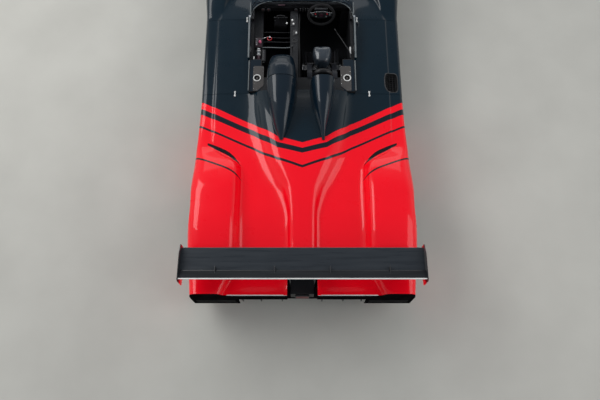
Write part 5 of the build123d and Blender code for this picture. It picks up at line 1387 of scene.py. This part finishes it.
belts, pads = [], []
for s in (-1, 1):
    belts.append(strap([
        (s * 118, 268, 656), (s * 118, 215, 654), (s * 118, 152, 612), (s * 116, 100, 613),
        (s * 112, 74, 600), (s * 88, 30, 474), (s * 56, -16, 330), (s * 32, -62, 226)]))
    lap = [(s * 166, -40, 238), (s * 128, -66, 216), (s * 66, -84, 209), (s * 26, -92, 208)]
    belts.append(strap(lap, across=(0, 1, 0.2)))
    pads.append(strap([(s * 117, 92, 617), (s * 112, 78, 606), (s * 104, 60, 552), (s * 94, 40, 498)], 62, 7))
belts.append(strap([(0, -102, 206), (0, -170, 204), (0, -250, 214), (0, -316, 217)], 40))
piece("harness_straps", "webbing", *belts, sharp=60)
buckle = [(0, 30), (6, 32), (14, 32), (18, 28), (18, 12), (22, 10), (22, 0)]
piece("harness_buckle", "milled_alloy", turned(buckle, (DRIVER_X, -88, 208), steps=40))
adjuster = slab((-30, 24, 466), (30, 40, 500), 4)
piece("harness_adjusters", "turned_steel", copies(adjuster, [(DRIVER_X - 92, 0, 0), (DRIVER_X + 92, 0, 0)]))
piece("harness_pads", "seat_cloth", *pads, sharp=60)

# %% [markdown]
# ## Wheels
#
# Slick tyres and one-piece rims are bodies of revolution, so both are turned on a lathe, as
# outlines of radius against width. Ten spokes join the hub to the barrel, and one spoke is
# drawn and then copied round the axle by a tree. The centre nut has flats for its socket.

# %% Tyres and rims
BEAD, SEAT, FLANGE, BORE, SPOKES = 228, 226.5, 243, 30.6, 10
WHEELS = {"front": (FRONT, FRONT_RADIUS, 330, 864), "rear": (REAR, REAR_RADIUS, 370, 769)}


def tyre_outline(inner, outer, radius):
    """Half the section, outside first and then inside, and the same mirrored."""
    high = radius - FLANGE
    outside = [
        (14.5, BEAD + 1), (14.5, FLANGE), (8, 248), (3.4, 255), (2.2, 259), (0.9, 260), (0.9, 263.5),
        (2.0, 264.5), (0.6, FLANGE + 0.42 * high), (0.3, FLANGE + 0.60 * high), (1.6, FLANGE + 0.75 * high),
        (2.2, FLANGE + 0.765 * high), (2.9, FLANGE + 0.78 * high), (6.5, radius - 12), (14, radius - 5.5),
        (26, radius - 2.4), (46, radius - 0.9), (75, radius - 0.3),
    ]
    inside = [(75, radius - 12), (40, radius - 14), (24, FLANGE + 0.7 * high), (17, FLANGE + 0.4 * high),
              (22, 250), (31, BEAD + 1)]
    line = [(outer - d, r) for d, r in outside] + [((inner + outer) / 2, radius)]
    line += [(inner + d, r) for d, r in reversed(outside)]
    return line + [(inner + d, r) for d, r in reversed(inside)] + [(outer - d, r) for d, r in inside]


def barrel_outline(inner, outer):
    from_inner = [(6, 240), (6, 222), (9, 219), (60, 218), (90, 213)]
    from_outer = [(60, 213), (44, 216), (30, 217), (16, 221), (6, 223), (5, 238), (7, 241), (12, 241),
                  (13.5, 238), (14, SEAT), (70, SEAT), (84, 221)]
    back_to_inner = [(60, 221), (44, SEAT), (14, SEAT), (13.5, 239), (11, 241), (8, 241)]
    line = [(inner + d, r) for d, r in from_inner] + [(outer - d, r) for d, r in from_outer]
    return line + [(inner + d, r) for d, r in back_to_inner]


def hub_outline(outer, disc_face):
    """Bored from the inside for the stub axle and closed at the outer end."""
    line = [(outer - 38, 0), (outer - 38, BORE), (disc_face, BORE), (disc_face, 88), (disc_face + 6, 93)]
    face = [(92, 92), (66, 84), (57, 74), (55, 66), (49, 56), (35, 50), (32, 44), (31, 0)]
    return line + [(outer - d, r) for d, r in face]


# one spoke along +Z, wide at both ends: radius, half width, depth of its front and its back
rows = []
for r, half, front, back in (
    (70, 21, 60, 84), (88, 15, 56, 86), (108, 10, 51, 84), (140, 7.5, 46, 79), (172, 8, 42, 74),
    (196, 12, 37, 66), (208, 19, 33, 58), (216, 27, 31, 54), (219, 29, 31, 53),
):
    waist = 0.7 * back + 0.3 * front
    line = [(-back, 0.62 * half), (-waist, half), (-front - 5, half), (-front, half - 5)]
    line = [(-back, -0.62 * half), *line, (-front - 2.0, 0), *[(x, -y) for x, y in line[:0:-1]]]
    rows.append([(POD_HALF + x, y, r) for x, y in line])
spoke = lattice(rows)
nut_ring = rounded(circle(36, 6), 0.12, 3)
nut_steps = ((32, 1.2), (27, 1.2), (26, 1.0), (12, 1.0), (10, 0.94), (10, 0.64), (22, 0.6))
nut = lattice([[(POD_HALF - x, u * s, v * s) for u, v in nut_ring] for x, s in nut_steps])
pin = turned([(0, 5), (8, 5), (10, 3.5), (10, 0)], (POD_HALF - 52, 0, 62), "X", 16)
valve = turned([(0, 3), (14, 3), (15, 4), (24, 4), (25, 2.6), (25, 0)], (POD_HALF - 42, 34, 204), "X", 14)
weight = slab((POD_HALF - 39, -9, 212), (POD_HALF - 29, 9, 215), 1)
weights = copies(weight, [(0, -10, 0), (0, 10, 0)])

FITTINGS = {"nut": (nut, "milled_alloy"), "valve": (valve, "pin_steel"), "weights": (weights, "fin_alloy")}

for end, (axle, radius, width, disc_face) in WHEELS.items():
    inner = POD_HALF - width
    tyre = turned(tyre_outline(inner, POD_HALF, radius), axis="X", steps=112, loop=True)
    barrel = turned(barrel_outline(inner, POD_HALF), axis="X", steps=96, loop=True)
    rim = joined(barrel, turned(hub_outline(POD_HALF, disc_face), axis="X", steps=64))
    for side, flip in (("left", lambda shape: shape), ("right", mirrored)):
        body, centre = f"{end}_{side}_wheel", (0, axle, radius)
        corner = f"{end}_{side}"
        piece(f"{body}_tyre", "tyre_rubber", moved(flip(tyre), centre), body=body, replaces=f"{corner}_tyre")
        piece(f"{body}_barrel", "rim_alloy", moved(flip(rim), centre), body=body, replaces=f"{corner}_rim")
        grown(f"{body}_spokes", ring_tree, flip(spoke), "rim_alloy", body, centre, Count=SPOKES)
        between = {"Count": SPOKES, "Start Angle": math.pi / SPOKES}
        grown(f"{body}_pins", ring_tree, flip(pin), "turned_steel", body, centre, **between)
        for name, (shape, finish) in FITTINGS.items():
            piece(f"{body}_{name}", finish, moved(flip(shape), centre), body=body)
print("wheels turned")

# %% [markdown]
# ## Mirrors, lamps and screen
#
# The mirrors stand on the front fenders in rounded shells. The lamps are deep bowls behind
# covers that follow the fender, so each cover is the nose's own sheet cut to the window's
# shape. The low screen is a bent strip of clear plastic with a rolled top edge.

# %% Mirrors
MIRROR_X, MIRROR_Y = HALF - 330, FRONT + 330
MIRROR_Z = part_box("mirrors")[1][2] / MM - 40


def mirror_row(dy, outline):
    return [(MIRROR_X + u, MIRROR_Y + dy, MIRROR_Z + v) for u, v in outline]


steps = ((-35, 0.18), (-34, 0.42), (-30, 0.62), (-22, 0.80), (-8, 0.93), (10, 0.985), (30, 1.0), (34, 0.99),
         (35, 0.965), (33, 0.94), (27, 0.925))
rows = [mirror_row(dy, rectangle(169 * s, 79 * min(1, s * 1.02), 26 * s, 6)) for dy, s in steps]
pair("mirror_shells", "mirror_gloss", lattice(rows), sharp=40, replaces="mirrors")
rows = [mirror_row(dy, rectangle(w, h, 20, 6)) for dy, w, h in ((26, 152, 68), (29, 152, 68), (30, 149, 65))]
pair("mirror_glass", "mirror_face", lattice(rows))
foot_z = crest_height(MIRROR_Y) - 8
stalk = []
for k in range(9):
    t = k / 8
    wide, deep = 7 + 5 * (1 - t) ** 3 + 3 * t**4, 17 + 9 * (1 - t) ** 3
    rise = foot_z + (MIRROR_Z - 32 - foot_z) * t
    stalk.append([(MIRROR_X + wide * x, MIRROR_Y + deep * y, rise) for x, y in circle(1, 20)])
pair("mirror_stalks", "mirror_gloss", lattice(stalk))

# %% Headlamps
bowl = [(34, 0), (33, 12), (28, 26), (18, 40), (6, 50), (0, 53), (-1.5, 54), (0, 55), (9, 53), (22, 43),
        (32, 28), (37, 13), (38, 0)]
lens = [(-16, 0), (-14.5, 8), (-9, 15), (-2, 19), (4, 20.5), (16, 20.5), (20, 18), (20, 0)]
collar = [(4, 24), (12, 26), (20, 24), (20, 20), (4, 20.5)]
outline = [(-123, FLOOR_TOP + 1), (123, FLOOR_TOP + 1), (123, LAMP_Z - 14), (-123, LAMP_Z - 14)]
outline = rounded([(LAMP_X + x, z) for x, z in outline], 0.08, 4)
plate = prism(outline, "Y", LAMP_Y + 90, LAMP_Y + 94)
pair("headlamp_plates", "black_plastic", plate, replaces="headlamps")
lamps = [(LAMP_X + x, LAMP_Y + 50, LAMP_Z - 35) for x in (-60, 60)]
pair("headlamp_bowls", "lamp_chrome", copies(turned(bowl, axis="Y", steps=56), lamps))
lens = turned(lens, (0, 12, 0), "Y", 40)
pair("headlamp_lenses", "display_glass", copies(lens, lamps))
collar = turned(collar, (0, 12, 0), "Y", 40, loop=True)
pair("headlamp_collars", "black_plastic", copies(collar, lamps))
cover = walled("headlamp_cover_skins", sheet_along(whole_nose, LAMP_Y - 200, LAMP_Y + 160), 3, even=True)
cut(cover, lamp_window(1), operation="INTERSECT")
settle(cover, "lamp_clear", replaces="headlamp_covers")

# %% Screen
def screen_line(inset, lift, raised=0):
    """The plan outline of the screen, with a height for each point."""
    front, back, half, bend = COCKPIT_FRONT + 9 + inset, FORE_SEAM - 32, TUB_HALF - 13 - inset * 0.6, 92
    line = [(0, front)]
    for a in np.linspace(0, math.pi / 2, 13):
        line.append((half - bend + bend * math.sin(a), front + bend - bend * math.cos(a)))
    line += [(half, front + bend + (back - front - bend) * k / 6) for k in range(1, 7)]
    rows = []
    for x, y in line:
        top = min(RIM_Z + 73, RIM_Z + 16 + (back - y) * 0.62)
        rows.append((x, y, RIM_Z + 0.5 + (top - RIM_Z) * lift + raised))
    return [(-x, y, z) for x, y, z in rows[:0:-1]] + rows


levels = ((0, 0), (1.5, 0.25), (4, 0.5), (7, 0.75), (10, 0.93), (10.4, 0.985), (8.6, 1.0))
screen = lattice([screen_line(inset, lift) for inset, lift in levels], ring=False)
settle(walled("windscreen_skin", screen, 3), "screen_clear", sharp=60, replaces="windscreen")
strip = lattice([screen_line(-3.2, 0, 2), screen_line(-2.8, 0, 12)], ring=False)
settle(walled("screen_strip", strip, 1.6), "black_plastic")
screw = turned([(0, 3.4), (1.2, 3.2), (1.8, 2.2), (1.2, 1.6), (1.2, 0)], axis="Y", steps=10)
row_of("screen_screws", screw, screen_line(-4.6, 0, 7)[9:-9], 60, "pin_steel")
print("lamps and screen done")
